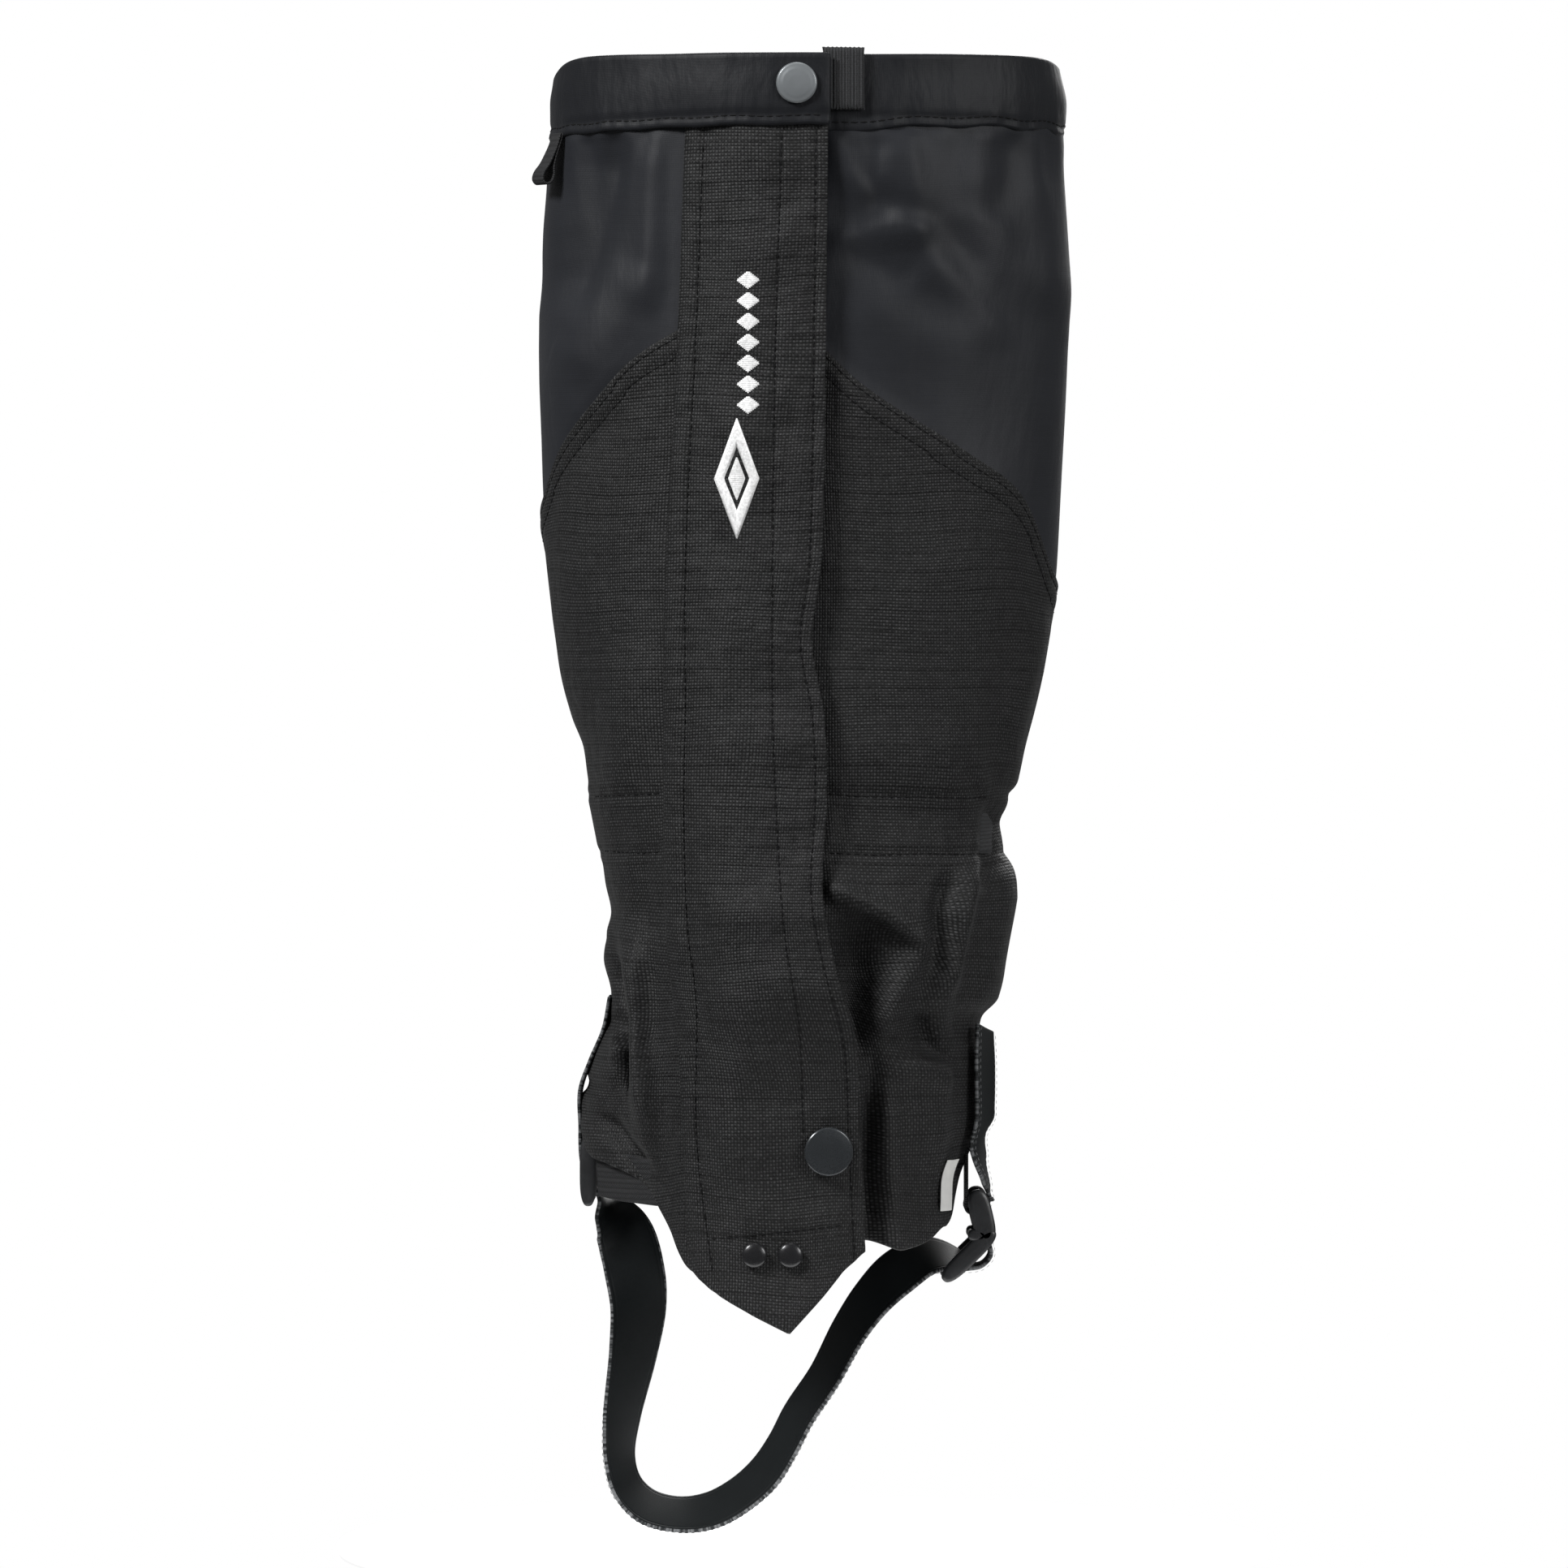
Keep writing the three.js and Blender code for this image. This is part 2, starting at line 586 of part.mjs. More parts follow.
/** A bar with round ends in section, from (-reach, 0) to (0, 0) along u, centred at w. */
function capsule(from, to, w, radius, path = new THREE.Shape()) {
  const [low, high] = [Math.min(from, to), Math.max(from, to)];
  path.absarc(high, w, radius, -Math.PI / 2, Math.PI / 2, false);
  path.absarc(low, w, radius, Math.PI / 2, 1.5 * Math.PI, false);
  return path;
}

function addBuckle(name, spot) {
  const inside = strapWidth / 2 + buckleSlack;
  const frame = buckleFrame(spot);
  gaiter.add(frame);
  const rail = new THREE.Shape();
  const reach = barPitch + railEnd - railThickness / 2;
  rail.absarc(0, reach, railThickness / 2, 0, Math.PI, false);
  rail.absarc(0, -reach, railThickness / 2, Math.PI, 2 * Math.PI, false);
  const rails = [-1, 1].map((side) => pushed(rail, railWidth).translate(0, side * (inside + railWidth / 2), 0));
  const bars = [-barPitch, 0, barPitch].map((w) => {
    const bar = new THREE.CylinderGeometry(barRadius, barRadius, 2 * inside + railWidth, 12);
    return bar.translate(0, 0, w);
  });
  add(`${name}_buckle`, 'buckle', joined(...rails, ...bars), frame);
}

/** The webbing that holds a buckle: a strip sewn inside the hem, and a loop round the top bar. */
function addWebbing(name, spot) {
  const inner = barRadius + barPlay;
  const travel = -spot.side * barTravel;
  const loop = capsule(travel, 0, barPitch, inner + webbingThickness);
  loop.holes.push(capsule(travel, 0, barPitch, inner, new THREE.Path()));
  const ring = pushed(loop, webbingWidth).applyMatrix4(buckleFrame(spot).matrixWorld);
  const [barX, barZ] = atBuckle(spot, 0, barPitch);
  const face = barX - spot.side * (barTravel + inner + gap);
  const height = spot.top - barZ;
  const strip = new THREE.BoxGeometry(webbingThickness + gap, webbingWidth, height);
  strip.translate(face - spot.side * (webbingThickness + gap) / 2, 0, barZ + height / 2);
  add(`${name}_webbing`, 'webbing', joined(ring, strip));
}

/** The strap's route: [across, height, turn], where turn 90 lays it flat to the leg's side and 0 faces it forward. */
function strapRoute() {
  const outside = (spot, z) => {
    const wall = onWall(spot.side * Math.PI / 2, z, cloth + 1.3);
    return [wall.x, z, 90];
  };
  const left = ([u, w]) => [...atBuckle(leftBuckle, u, w), 90];
  const right = ([u, w]) => [...atBuckle(rightBuckle, u, w), 90];
  return [
    ...[-56, -66, -76, -86].map((z) => outside(leftBuckle, z)),
    ...[[3.6, 14], [3.6, 9], [3.3, 4], [2.6, 0.8], [0, -4.5], [-2.6, -9.8]].map(left),
    [-64, -126, 78], [-58.5, -134, 38], [-54.6, -143, 8], [-53.8, -156, 25], [-55.6, -171, 38], [-59.6, -193, 54],
    [-60.3, -206, 62], [-57.6, -215.5, 62], [-51, -222, 60], [-40.3, -224.7, 60], [-29.5, -223.3, 58],
    [-20, -218.2, 58], [-12, -211, 58], [-6, -202, 60], [-0.8, -192, 60], [7.6, -179.4, 60], [15.6, -164.5, 58],
    [23, -154, 55], [31, -146, 52], [39.5, -140.5, 66],
    ...[[-7, -5.6], [-2.4, -4.7], [1.2, -4.2], [3.4, -1.6], [3.4, 3], [3.6, 9], [3.8, 14]].map(right),
    ...[-108, -96, -86, -76, -66].map((z) => outside(rightBuckle, z)),
  ];
}

function addStrap() {
  const route = strapRoute();
  const steps = 96;
  const path = new THREE.CatmullRomCurve3(route.map(([x, z]) => new THREE.Vector3(x, 0, z)), false, 'centripetal');
  const turns = route.map((spot, i) => [i / (route.length - 1), spot[2]]);
  const across = new THREE.Vector3(0, 1, 0);
  add('instep_strap', 'strap', closedSheet(1, steps, (u, v, side) => {
    const centre = path.getPoint(v);
    const along = path.getTangent(v);
    const level = along.clone().cross(across).normalize();
    const angle = smooth(turns, v) * turn;
    const wide = level.multiplyScalar(Math.cos(angle)).addScaledVector(across, Math.sin(angle));
    const thick = along.clone().cross(wide);
    return centre.addScaledVector(wide, (u - 0.5) * strapWidth).addScaledVector(thick, (side - 0.5) * strapThickness);
  }));
}

// ---------------------------------------------------------------- the whole gaiter
addPanels();
addTopHem();
addPlacket();
addFlap();
addSnap('top_snap', topSnap, hemThickness, flapNear(topSnap.x), flapNear(topSnap.x) + hemThickness);
addSnap('low_snap', lowSnap, cloth, flapNear(lowSnap.x) - layerGap - liningThickness, flapNear(lowSnap.x) + flapThickness);
addLaceHook();
addLinings();
addTrim();
addSidePull();
for (const [name, spot] of [['left', leftBuckle], ['right', rightBuckle]]) {
  addBuckle(name, spot);
  addWebbing(name, spot);
}
addStrap();

export default gaiter;
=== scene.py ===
"""The looks of a hiking gaiter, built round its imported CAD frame: cloth panels, flap, fasteners and strap.

Lengths are millimetres until a mesh is made. +Z runs up the leg, -Y faces forward, +X is to the viewer's right.
"""
import math

import bmesh
import bpy
import numpy as np
from mathutils import Matrix, Vector


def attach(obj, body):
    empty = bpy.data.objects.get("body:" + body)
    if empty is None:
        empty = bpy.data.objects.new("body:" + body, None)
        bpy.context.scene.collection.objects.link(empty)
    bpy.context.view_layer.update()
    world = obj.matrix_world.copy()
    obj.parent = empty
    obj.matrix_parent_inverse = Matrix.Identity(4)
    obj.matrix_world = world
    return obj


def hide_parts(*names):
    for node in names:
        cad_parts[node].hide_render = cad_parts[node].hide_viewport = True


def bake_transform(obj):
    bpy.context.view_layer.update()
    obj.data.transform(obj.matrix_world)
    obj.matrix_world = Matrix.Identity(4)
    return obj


MM = 0.001
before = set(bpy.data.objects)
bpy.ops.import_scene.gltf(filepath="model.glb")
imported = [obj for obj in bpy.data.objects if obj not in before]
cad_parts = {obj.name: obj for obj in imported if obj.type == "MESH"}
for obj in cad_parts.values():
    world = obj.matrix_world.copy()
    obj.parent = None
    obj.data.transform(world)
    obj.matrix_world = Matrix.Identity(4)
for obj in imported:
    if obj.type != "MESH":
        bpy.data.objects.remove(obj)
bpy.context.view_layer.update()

# ---------------------------------------------------------------- sizes shared with the CAD part
TOP_RIM = 246.0
HEM_LINE = 223.0
HINGE_X = -36.0
HINGE_DEPTH = 46.0
GAP = 0.3
LAYER_GAP = 0.5
LINING_GAP = 0.6
CLOTH = 1.4
HEM_THICKNESS = 2.0
FLAP_THICKNESS = 1.2
LINING_THICKNESS = 0.8
TAPE_THICKNESS = 1.0
HINGE_RISE = CLOTH / 0.8 + GAP
FLAP_HIGH = CLOTH + 2 * TAPE_THICKNESS + LINING_THICKNESS + 3 * GAP + LAYER_GAP
RAMP_END = -20.0
PLACKET_LEFT = -31.0
PANEL_EDGE_LEFT = -33.0
EDGE_GAP = 0.9
TAPE_WIDTH = 12.0
TAPE_INSET = 0.5
TAPE_BOTTOM = -90.0
ANKLE_BAND = 18.0
ELASTIC_THICKNESS = 1.2
CHANNEL_MARGIN = 1.5
TOP_ELASTIC_HEIGHT = 17.0
SEAM_TAPE_WIDTH = 14.0
SEAM_TAPE_THICKNESS = 0.8
STRAP_WIDTH = 18.5
STRAP_THICKNESS = 1.2
BAR_PITCH = 9.0
BAR_RADIUS = 1.1
BUCKLE_INSIDE = STRAP_WIDTH / 2 + 1
WEBBING_WIDTH = 18.0
WEBBING_THICKNESS = 1.1
BAR_PLAY = 0.4
BAR_TRAVEL = 1.9
LEFT_BUCKLE = {"x": -69.4, "z": -112.0, "lean": 0.0, "side": -1, "top": -92.0}
RIGHT_BUCKLE = {"x": 54.5, "z": -133.0, "lean": 12.0, "side": 1, "top": -94.0}
TOP_SNAP = {"x": -2.0, "z": 234.5, "radius": 6.5}
LOW_SNAP = {"x": 6.5, "z": -103.0, "radius": 7.8}
HOOK_X = -9.9
HOOK_Z = -136.4
RIVET_SPACING = 11.4
PULL_ANGLE = math.radians(-74)
PULL_TOP = HEM_LINE - 1.5
CAMERA_X = -6.24
CAMERA_Z = 12.74
CAMERA_FAR = 2500.0
SIDE_PLANE = 1.012
CAMERA_NEAR_PLANE = 30.0
PICTURE_WIDTH = 502.0
SENSOR = 36
# Cells across and up of the sheets that stitching is laid on
LOWER_CELLS = (170, 190)
UPPER_CELLS = (150, 90)
FLAP_CELLS = (64, 300)
LEFT_BAND_CELLS = (210, 22)
RIGHT_BAND_CELLS = (150, 22)
# A sheet's rounded edge: (share of its thickness, how far it stands out in thicknesses)
ROUND_EDGE = ((0.18, 0.3), (0.5, 0.42), (0.82, 0.3))
WELD = 0.003
FILLET = 0.28
LEAST_FILLET = 0.02
THREAD_SIDES = 6
SATIN_STEP = 0.42
STITCH_WIDTH = 0.5
STITCH_HEIGHT = 0.4

# The tube's outer edges as the camera sees them: (height, distance across)
LEFT_SIDE = [
    (-165, -64), (-130, -69), (-101, -72.2), (-92, -71.6), (-86, -71.4), (-74, -67.4), (-62, -62.6),
    (-51, -61.6), (-42, -62.6), (-35, -62.5), (-28, -61.3), (-19, -63.7), (-7, -66), (9, -68.9),
    (24, -70.7), (34, -74.2), (49, -78.3), (64, -80.6), (82, -82.4), (105, -83.7), (134, -84.2),
    (165, -84.5), (188, -83.7), (204, -81.9), (222, -80.3), (235, -80), (246, -79),
]
RIGHT_SIDE = [
    (-165, 50), (-125, 52), (-113, 52.5), (-104, 56), (-97, 59), (-89, 60.3), (-75, 60.3), (-66, 59),
    (-58, 61), (-39, 65), (-27, 66.9), (-19, 66.8), (-11, 65), (-5, 64), (2, 63.6), (5, 64.3), (9, 66),
    (20, 70.2), (38, 74.9), (61, 78.5), (72, 80), (82, 81.4), (118, 83.7), (160, 84.5), (186, 84),
    (212, 83.2), (229, 83.2), (235, 82.6), (246, 81),
]
BACK_DEPTH = [
    (-165, 46), (-105, 52), (-74, 50), (-40, 46), (0, 42), (30, 47), (82, 56), (160, 60), (246, 56),
]
FLAP_RIGHT = [
    (-135, 19.4), (-100, 17.7), (-69, 15.9), (-46, 9.9), (-23, 5.7), (9, 7), (35, 6), (58, 2.2), (82, 5.2),
    (147, 6.5), (246, 7.5),
]
FLAP_LEFT = [
    (-140, -36.9), (-100, -38.3), (-69, -40), (-57, -41.6), (-40, -43.4), (-23, -44.5), (64, -44.5),
    (82, -43.9), (149, -40.3), (222, -37.6),
]
PLACKET_RIGHT = [(-135, 15.2), (-69, 12), (-30, 1.5), (246, 1.5)]
# Edges round the tube, from a panel's front edge (0) to the back seam (1): (share, height)
SEAM_LEFT = [(0, 160), (0.1, 148), (0.18, 134), (0.27, 120), (0.36, 105), (0.62, 88), (1, 80)]
SEAM_RIGHT = [
    (0, 155), (0.06, 140), (0.13, 128.5), (0.21, 117.5), (0.3, 106), (0.42, 81), (0.66, 74), (1, 80),
]
HEM_LEFT = [
    (0, -143), (0.026, -140), (0.045, -135), (0.06, -129), (0.083, -122.5), (0.106, -116.5), (0.146, -112),
    (0.23, -108.4), (0.31, -105.5), (0.36, -97), (0.42, -95), (0.48, -96), (0.56, -102), (0.72, -108),
    (1, -112),
]
HEM_RIGHT = [
    (0, -131), (0.04, -132), (0.08, -135), (0.13, -134.8), (0.19, -132.6), (0.235, -129.2), (0.27, -128.6),
    (0.31, -126), (0.345, -120), (0.4, -112.5), (0.47, -111), (0.6, -111), (1, -112),
]


# ---------------------------------------------------------------- shape of the leg
def smooth(pairs, x):
    """The value at x of a smooth curve through (x, y) pairs in rising order, level past both ends."""
    px, py = np.array(pairs, float).T
    slope = np.empty_like(py)
    slope[1:-1] = (py[2:] - py[:-2]) / (px[2:] - px[:-2])
    slope[0] = (py[1] - py[0]) / (px[1] - px[0])
    slope[-1] = (py[-1] - py[-2]) / (px[-1] - px[-2])
    x = np.asarray(x, float)
    i = np.clip(np.searchsorted(px, x, side="right") - 1, 0, len(px) - 2)
    span = px[i + 1] - px[i]
    t = np.clip((x - px[i]) / span, 0, 1)
    value = py[i] * (2 * t**3 - 3 * t**2 + 1) + slope[i] * span * (t**3 - 2 * t**2 + t)
    return value + py[i + 1] * (3 * t**2 - 2 * t**3) + slope[i + 1] * span * (t**3 - t**2)


def mix(a, b, t):
    """a at t = 0, b at t = 1."""
    return a + (b - a) * t


def unit(vectors):
    """The vectors, each made one long."""
    return vectors / np.maximum(np.linalg.norm(vectors, axis=-1, keepdims=True), 1e-9)


def ease(low, high, x):
    """0 below low, 1 above high, smooth between."""
    t = np.clip((np.asarray(x, float) - low) / (high - low), 0, 1)
    return t * t * (3 - 2 * t)


def at_side(x):
    """A distance across on the camera's picture plane, moved back to the tube's widest line."""
    return CAMERA_X + (x - CAMERA_X) * SIDE_PLANE


def section(z):
    """The oval section at a height: its middle, half width, front depth and back depth."""
    seen = CAMERA_Z + (np.asarray(z, float) - CAMERA_Z) / SIDE_PLANE
    left = at_side(smooth(LEFT_SIDE, seen)) + CLOTH
    right = at_side(smooth(RIGHT_SIDE, seen)) - CLOTH
    middle = (left + right) / 2
    half = (right - left) / 2
    front = HINGE_DEPTH / np.sqrt(1 - ((HINGE_X - middle) / half) ** 2)
    return middle, half, front, smooth(BACK_DEPTH, z)


def on_wall(angle, z, offset):
    """Points off the wall, by their angle from the front, height and distance outwards."""
    middle, half, front, back = section(z)
    across = np.sin(angle)
    along = np.cos(angle)
    depth = np.where(along > 0, front, back)
    nx = depth * across
    ny = -half * along
    size = np.hypot(nx, ny)
    x = middle + half * across + nx / size * offset
    y = -depth * along + ny / size * offset
    return np.stack(np.broadcast_arrays(x, y, z), -1)


def on_front(x, z, offset):
    """Points in front of the wall, by their distance across, height and distance forwards."""
    middle, half, front, _ = section(z)
    y = -front * np.sqrt(np.clip(1 - ((x - middle) / half) ** 2, 0.02, 1)) - offset
    return np.stack(np.broadcast_arrays(x, y, z), -1)


def angle_at(x, z):
    """The angle from the front at which the wall's front half has this distance across."""
    middle, half, _, _ = section(z)
    return np.arcsin(np.clip((x - middle) / half, -1, 1))


def round_coordinate(angle, z):
    """Distance across, which runs on past the tube's sides on to its back."""
    middle, half, _, _ = section(z)
    past = np.sign(angle) * (2 - np.abs(np.sin(angle)))
    turned = np.where(np.abs(angle) <= math.pi / 2, np.sin(angle), past)
    return middle + half * turned


def seat(x, z, offset=0.0):
    """A matrix on the front at x and z, with its -Y square to the surface, at a distance off the wall."""
    step = 4.0
    across = Vector(on_front(x + step, z, 0.0) - on_front(x - step, z, 0.0))
    upwards = Vector(on_front(x, z + step, 0.0) - on_front(x, z - step, 0.0))
    turn = Vector((0, -1, 0)).rotation_difference(across.cross(upwards).normalized())
    return Matrix.Translation(Vector(on_front(x, z, offset))) @ turn.to_matrix().to_4x4()


def flap_near(x):
    """How far the flap's inner face lies off the wall: it rises from its hinge over the tapes."""
    return mix(HINGE_RISE, FLAP_HIGH, np.clip((x - HINGE_X) / (RAMP_END - HINGE_X), 0, 1))


def ripple(x, z, size, seed, stretch=1.0):
    """Soft, repeatable unevenness, about one high. size is its wavelength, stretch lengthens it up the leg."""
    random = np.random.default_rng(seed)
    total = 0.0
    for _ in range(9):
        heading = random.uniform(0, 2 * math.pi)
        wave = 2 * math.pi / (size * random.uniform(0.7, 1.6))
        phase = random.uniform(0, 2 * math.pi)
        total = total + np.sin(wave * (x * math.cos(heading) + z * math.sin(heading) / stretch) + phase)
    return total / 4.5


def fold(x, z, points, left, right, height):
    """A crease or ridge along a line, that falls off over left and right of its direction."""
    best = np.full(np.shape(x), 1e9)
    side = np.zeros(np.shape(x))
    along = np.zeros(np.shape(x))
    steps = [math.hypot(bx - ax, bz - az) for (ax, az), (bx, bz) in zip(points, points[1:])]
    done = 0.0
    for step, (ax, az), (bx, bz) in zip(steps, points, points[1:]):
        dx, dz = bx - ax, bz - az
        t = np.clip(((x - ax) * dx + (z - az) * dz) / (dx * dx + dz * dz), 0, 1)
        px, pz = x - ax - t * dx, z - az - t * dz
        distance = np.hypot(px, pz)
        nearer = distance < best
        best = np.where(nearer, distance, best)
        side = np.where(nearer, dx * pz - dz * px, side)
        along = np.where(nearer, (done + t * step) / sum(steps), along)
        done += step
    width = np.where(side > 0, left, right)
    ends = 0.15 + 0.85 * ease(0, 0.25, along) * ease(1, 0.75, along)
    return height * ends * np.exp(-((best / width) ** 2))


def add_folds(total, x, z, folds):
    """total with folds laid on it, each given as (points, left, right, height)."""
    for points, left, right, height in folds:
        total = total + fold(x, z, points, left, right, height)
    return total


def hollow(x, z, cx, cz, rx, rz, depth):
    """A rounded dent with its middle at (cx, cz)."""
    return -depth * np.exp(-(((x - cx) / rx) ** 2) - ((z - cz) / rz) ** 2)


# ---------------------------------------------------------------- meshes
def grid_object(name, points, thickness, cloth):
    """A closed sheet whose outer face is a grid of points, with a rounded edge. cloth holds thread places."""
    across, up = points.shape[0] - 1, points.shape[1] - 1
    du = unit(np.gradient(points, axis=0))
    dv = unit(np.gradient(points, axis=1))
    inner = points - outward_normals(points) * thickness
    count = (across + 1) * (up + 1)
    index = np.arange(count).reshape(across + 1, up + 1)
    ring = np.concatenate([index[:, 0], index[across, 1:], index[:across, up][::-1], index[0, 1:up][::-1]])
    outward = np.zeros_like(points)
    outward[0] -= du[0]
    outward[-1] += du[-1]
    outward[:, 0] -= dv[:, 0]
    outward[:, -1] += dv[:, -1]
    outward = unit(outward.reshape(-1, 3)[ring])
    outer_ring = points.reshape(-1, 3)[ring]
    inner_ring = inner.reshape(-1, 3)[ring]
    size = np.linalg.norm(outer_ring - inner_ring, axis=1, keepdims=True)
    rims = [mix(outer_ring, inner_ring, share) + outward * size * bulge for share, bulge in ROUND_EDGE]
    corners = np.concatenate([points.reshape(-1, 3), inner.reshape(-1, 3), *rims])
    a, b = index[:-1, :-1].ravel(), index[1:, :-1].ravel()
    c, d = index[1:, 1:].ravel(), index[:-1, 1:].ravel()
    faces = [np.stack([a, b, c, d], 1), np.stack([a, d, c, b], 1) + count]
    here = np.arange(len(ring))
    after = np.roll(here, -1)
    loops = [ring, *(2 * count + k * len(ring) + here for k in range(3)), ring + count]
    for first, second in zip(loops, loops[1:]):
        faces.append(np.stack([first[after], first[here], second[here], second[after]], 1))
    flat = cloth.reshape(-1, 2)
    threads = np.concatenate([flat, flat, flat[ring], flat[ring], flat[ring]])
    return mesh_object(name, corners, np.concatenate(faces).tolist(), threads)


def mesh_object(name, corners, faces, threads=None):
    """A smooth-shaded object from points in mm. threads holds each point's place in the cloth, in mm."""
    mesh = bpy.data.meshes.new(name)
    mesh.from_pydata((np.asarray(corners) * MM).tolist(), [], faces)
    mesh.validate()
    if threads is not None:
        place = mesh.attributes.new("cloth", "FLOAT_VECTOR", "POINT")
        values = np.column_stack([threads, np.zeros(len(threads))])
        place.data.foreach_set("vector", values.astype(np.float32).ravel())
    mesh.shade_smooth()
    made = bpy.data.objects.new(name, mesh)
    bpy.context.scene.collection.objects.link(made)
    return made


def face_outwards(made):
    """Turns a closed mesh's faces so that they face out."""
    mesh = made.data
    corners = np.empty(len(mesh.vertices) * 3, np.float32)
    mesh.vertices.foreach_get("co", corners)
    corners = corners.reshape(-1, 3).astype(float)
    mesh.calc_loop_triangles()
    triangles = np.empty(len(mesh.loop_triangles) * 3, np.int32)
    mesh.loop_triangles.foreach_get("vertices", triangles)
    a, b, c = corners[triangles.reshape(-1, 3)].transpose(1, 0, 2)
    if np.einsum("ij,ij->i", a, np.cross(b, c)).sum() < 0:
        mesh.flip_normals()
    return made


def finish_piece(made, body, material, replaced=()):
    """Gives a piece its material, the body it rides on and the CAD nodes it stands for."""
    face_outwards(made)
    made.data.materials.append(material)
    if body:
        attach(made, body)
    if replaced:
        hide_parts(*replaced)
    return made


def grid(across, up):
    """Shares 0 to 1 across and up, for a sheet of so many cells."""
    return np.meshgrid(np.linspace(0, 1, across + 1), np.linspace(0, 1, up + 1), indexing="ij")


def outward_normals(points):
    return unit(np.cross(np.gradient(points, axis=0), np.gradient(points, axis=1)))


def thread_places(points):
    """Places in the cloth: distance along each row from its first edge, and height, with a little wander."""
    steps = np.linalg.norm(np.diff(points, axis=0), axis=2)
    along = np.concatenate([np.zeros((1, points.shape[1])), np.cumsum(steps, axis=0)])
    height = points[..., 2]
    wander = 0.9 * ripple(along, height, 70, 5)
    lift = 1.1 * ripple(along, height, 55, 6)
    return np.stack([along + wander, height + lift], -1)


def lathe(name, profile, matrix, sides=48):
    """A solid of revolution about Y from (radius, distance out along -Y) pairs."""
    profile = rounded(profile)
    angles = np.linspace(0, 2 * math.pi, sides, endpoint=False)
    corners = [
        matrix @ Vector((radius * math.cos(angle), -out, radius * math.sin(angle)))
        for radius, out in profile for angle in angles
    ]
    faces = []
    for k in range(len(profile) - 1):
        for j in range(sides):
            after = (j + 1) % sides
            faces.append((k * sides + j, k * sides + after, (k + 1) * sides + after, (k + 1) * sides + j))
    return weld(mesh_object(name, corners, faces))


def weld(made):
    """Joins points that lie closer than WELD, in mm."""
    work = bmesh.new()
    work.from_mesh(made.data)
    bmesh.ops.remove_doubles(work, verts=work.verts, dist=WELD * MM)
    work.to_mesh(made.data)
    work.free()
    return made


def rounded(profile):
    """The profile with each inner corner cut twice, so that it catches a soft highlight."""
    out = [profile[0]]
    for before, here, after in zip(profile, profile[1:], profile[2:]):
        length_in = math.dist(before, here)
        length_out = math.dist(here, after)
        reach = min(FILLET, length_in / 4, length_out / 4)
        if reach < LEAST_FILLET:
            out.append(here)
            continue
        start = [mix(h, b, reach / length_in) for h, b in zip(here, before)]
        stop = [mix(h, a, reach / length_out) for h, a in zip(here, after)]
        middle = [(first + last) / 4 + h / 2 for first, last, h in zip(start, stop, here)]
        out += [start, middle, stop]
    return out + [profile[-1]]


# ---------------------------------------------------------------- materials
class Graph:
    """A material under construction. Its methods add one node each and give back that node's result."""

    def __init__(self, name):
        self.material = bpy.data.materials.new(name)
        self.material.use_nodes = True
        self.tree = self.material.node_tree
        self.shader = self.tree.nodes["Principled BSDF"]

    def put(self, socket, value):
        if isinstance(value, bpy.types.NodeSocket):
            self.tree.links.new(value, socket)
        else:
            socket.default_value = value

    def add(self, kind, **settings):
        node = self.tree.nodes.new(kind)
        for key, value in settings.items():
            setattr(node, key, value)
        return node

    def object_place(self):
        return self.add("ShaderNodeTexCoord").outputs["Object"]

    def math(self, operation, a, b=0.0, c=0.0, clamp=False):
        node = self.add("ShaderNodeMath", operation=operation, use_clamp=clamp)
        for socket, value in zip(node.inputs, (a, b, c)):
            self.put(socket, value)
        return node.outputs[0]

    def threads(self):
        """The place in the cloth, in mm, as a vector and as its two parts."""
        place = self.add("ShaderNodeAttribute", attribute_name="cloth").outputs["Vector"]
        parts = self.add("ShaderNodeSeparateXYZ")
        self.put(parts.inputs[0], place)
        return place, parts.outputs[0], parts.outputs[1]

    def noise(self, place, scale, detail=2.0, stretch=None):
        if stretch:
            mapping = self.add("ShaderNodeMapping")
            mapping.inputs["Scale"].default_value = stretch
            self.put(mapping.inputs["Vector"], place)
            place = mapping.outputs[0]
        node = self.add("ShaderNodeTexNoise")
        node.inputs["Scale"].default_value = scale
        node.inputs["Detail"].default_value = detail
        self.put(node.inputs["Vector"], place)
        return node.outputs[0]

    def span(self, value, low, high, to_low, to_high):
        node = self.add("ShaderNodeMapRange")
        for socket, number in zip(node.inputs, (value, low, high, to_low, to_high)):
            self.put(socket, number)
        return node.outputs[0]

    def blotches(self, place, scale, low, high, stretch=None, detail=3.0):
        """Noise spread between two values."""
        return self.span(self.noise(place, scale, detail, stretch), 0.3, 0.7, low, high)

    def product(self, first, *others):
        for other in others:
            first = self.math("MULTIPLY", first, other)
        return first

    def colour(self, factor, first, second):
        """first at factor 0, second at factor 1. Each is a plain colour or another node's result."""
        node = self.add("ShaderNodeMix", data_type="RGBA")
        for index, value in ((0, factor), (6, first), (7, second)):
            self.put(node.inputs[index], (*value, 1) if isinstance(value, tuple) else value)
        return node.outputs[2]

    def bump(self, height, distance, strength=1.0, before=None):
        """distance in mm."""
        node = self.add("ShaderNodeBump")
        node.inputs["Strength"].default_value = strength
        node.inputs["Distance"].default_value = distance * MM
        self.put(node.inputs["Height"], height)
        if before is not None:
            self.put(node.inputs["Normal"], before)
        return node.outputs[0]

    def set(self, **values):
        for key, value in values.items():
            self.put(self.shader.inputs[key.replace("_", " ")], value)
        return self.material


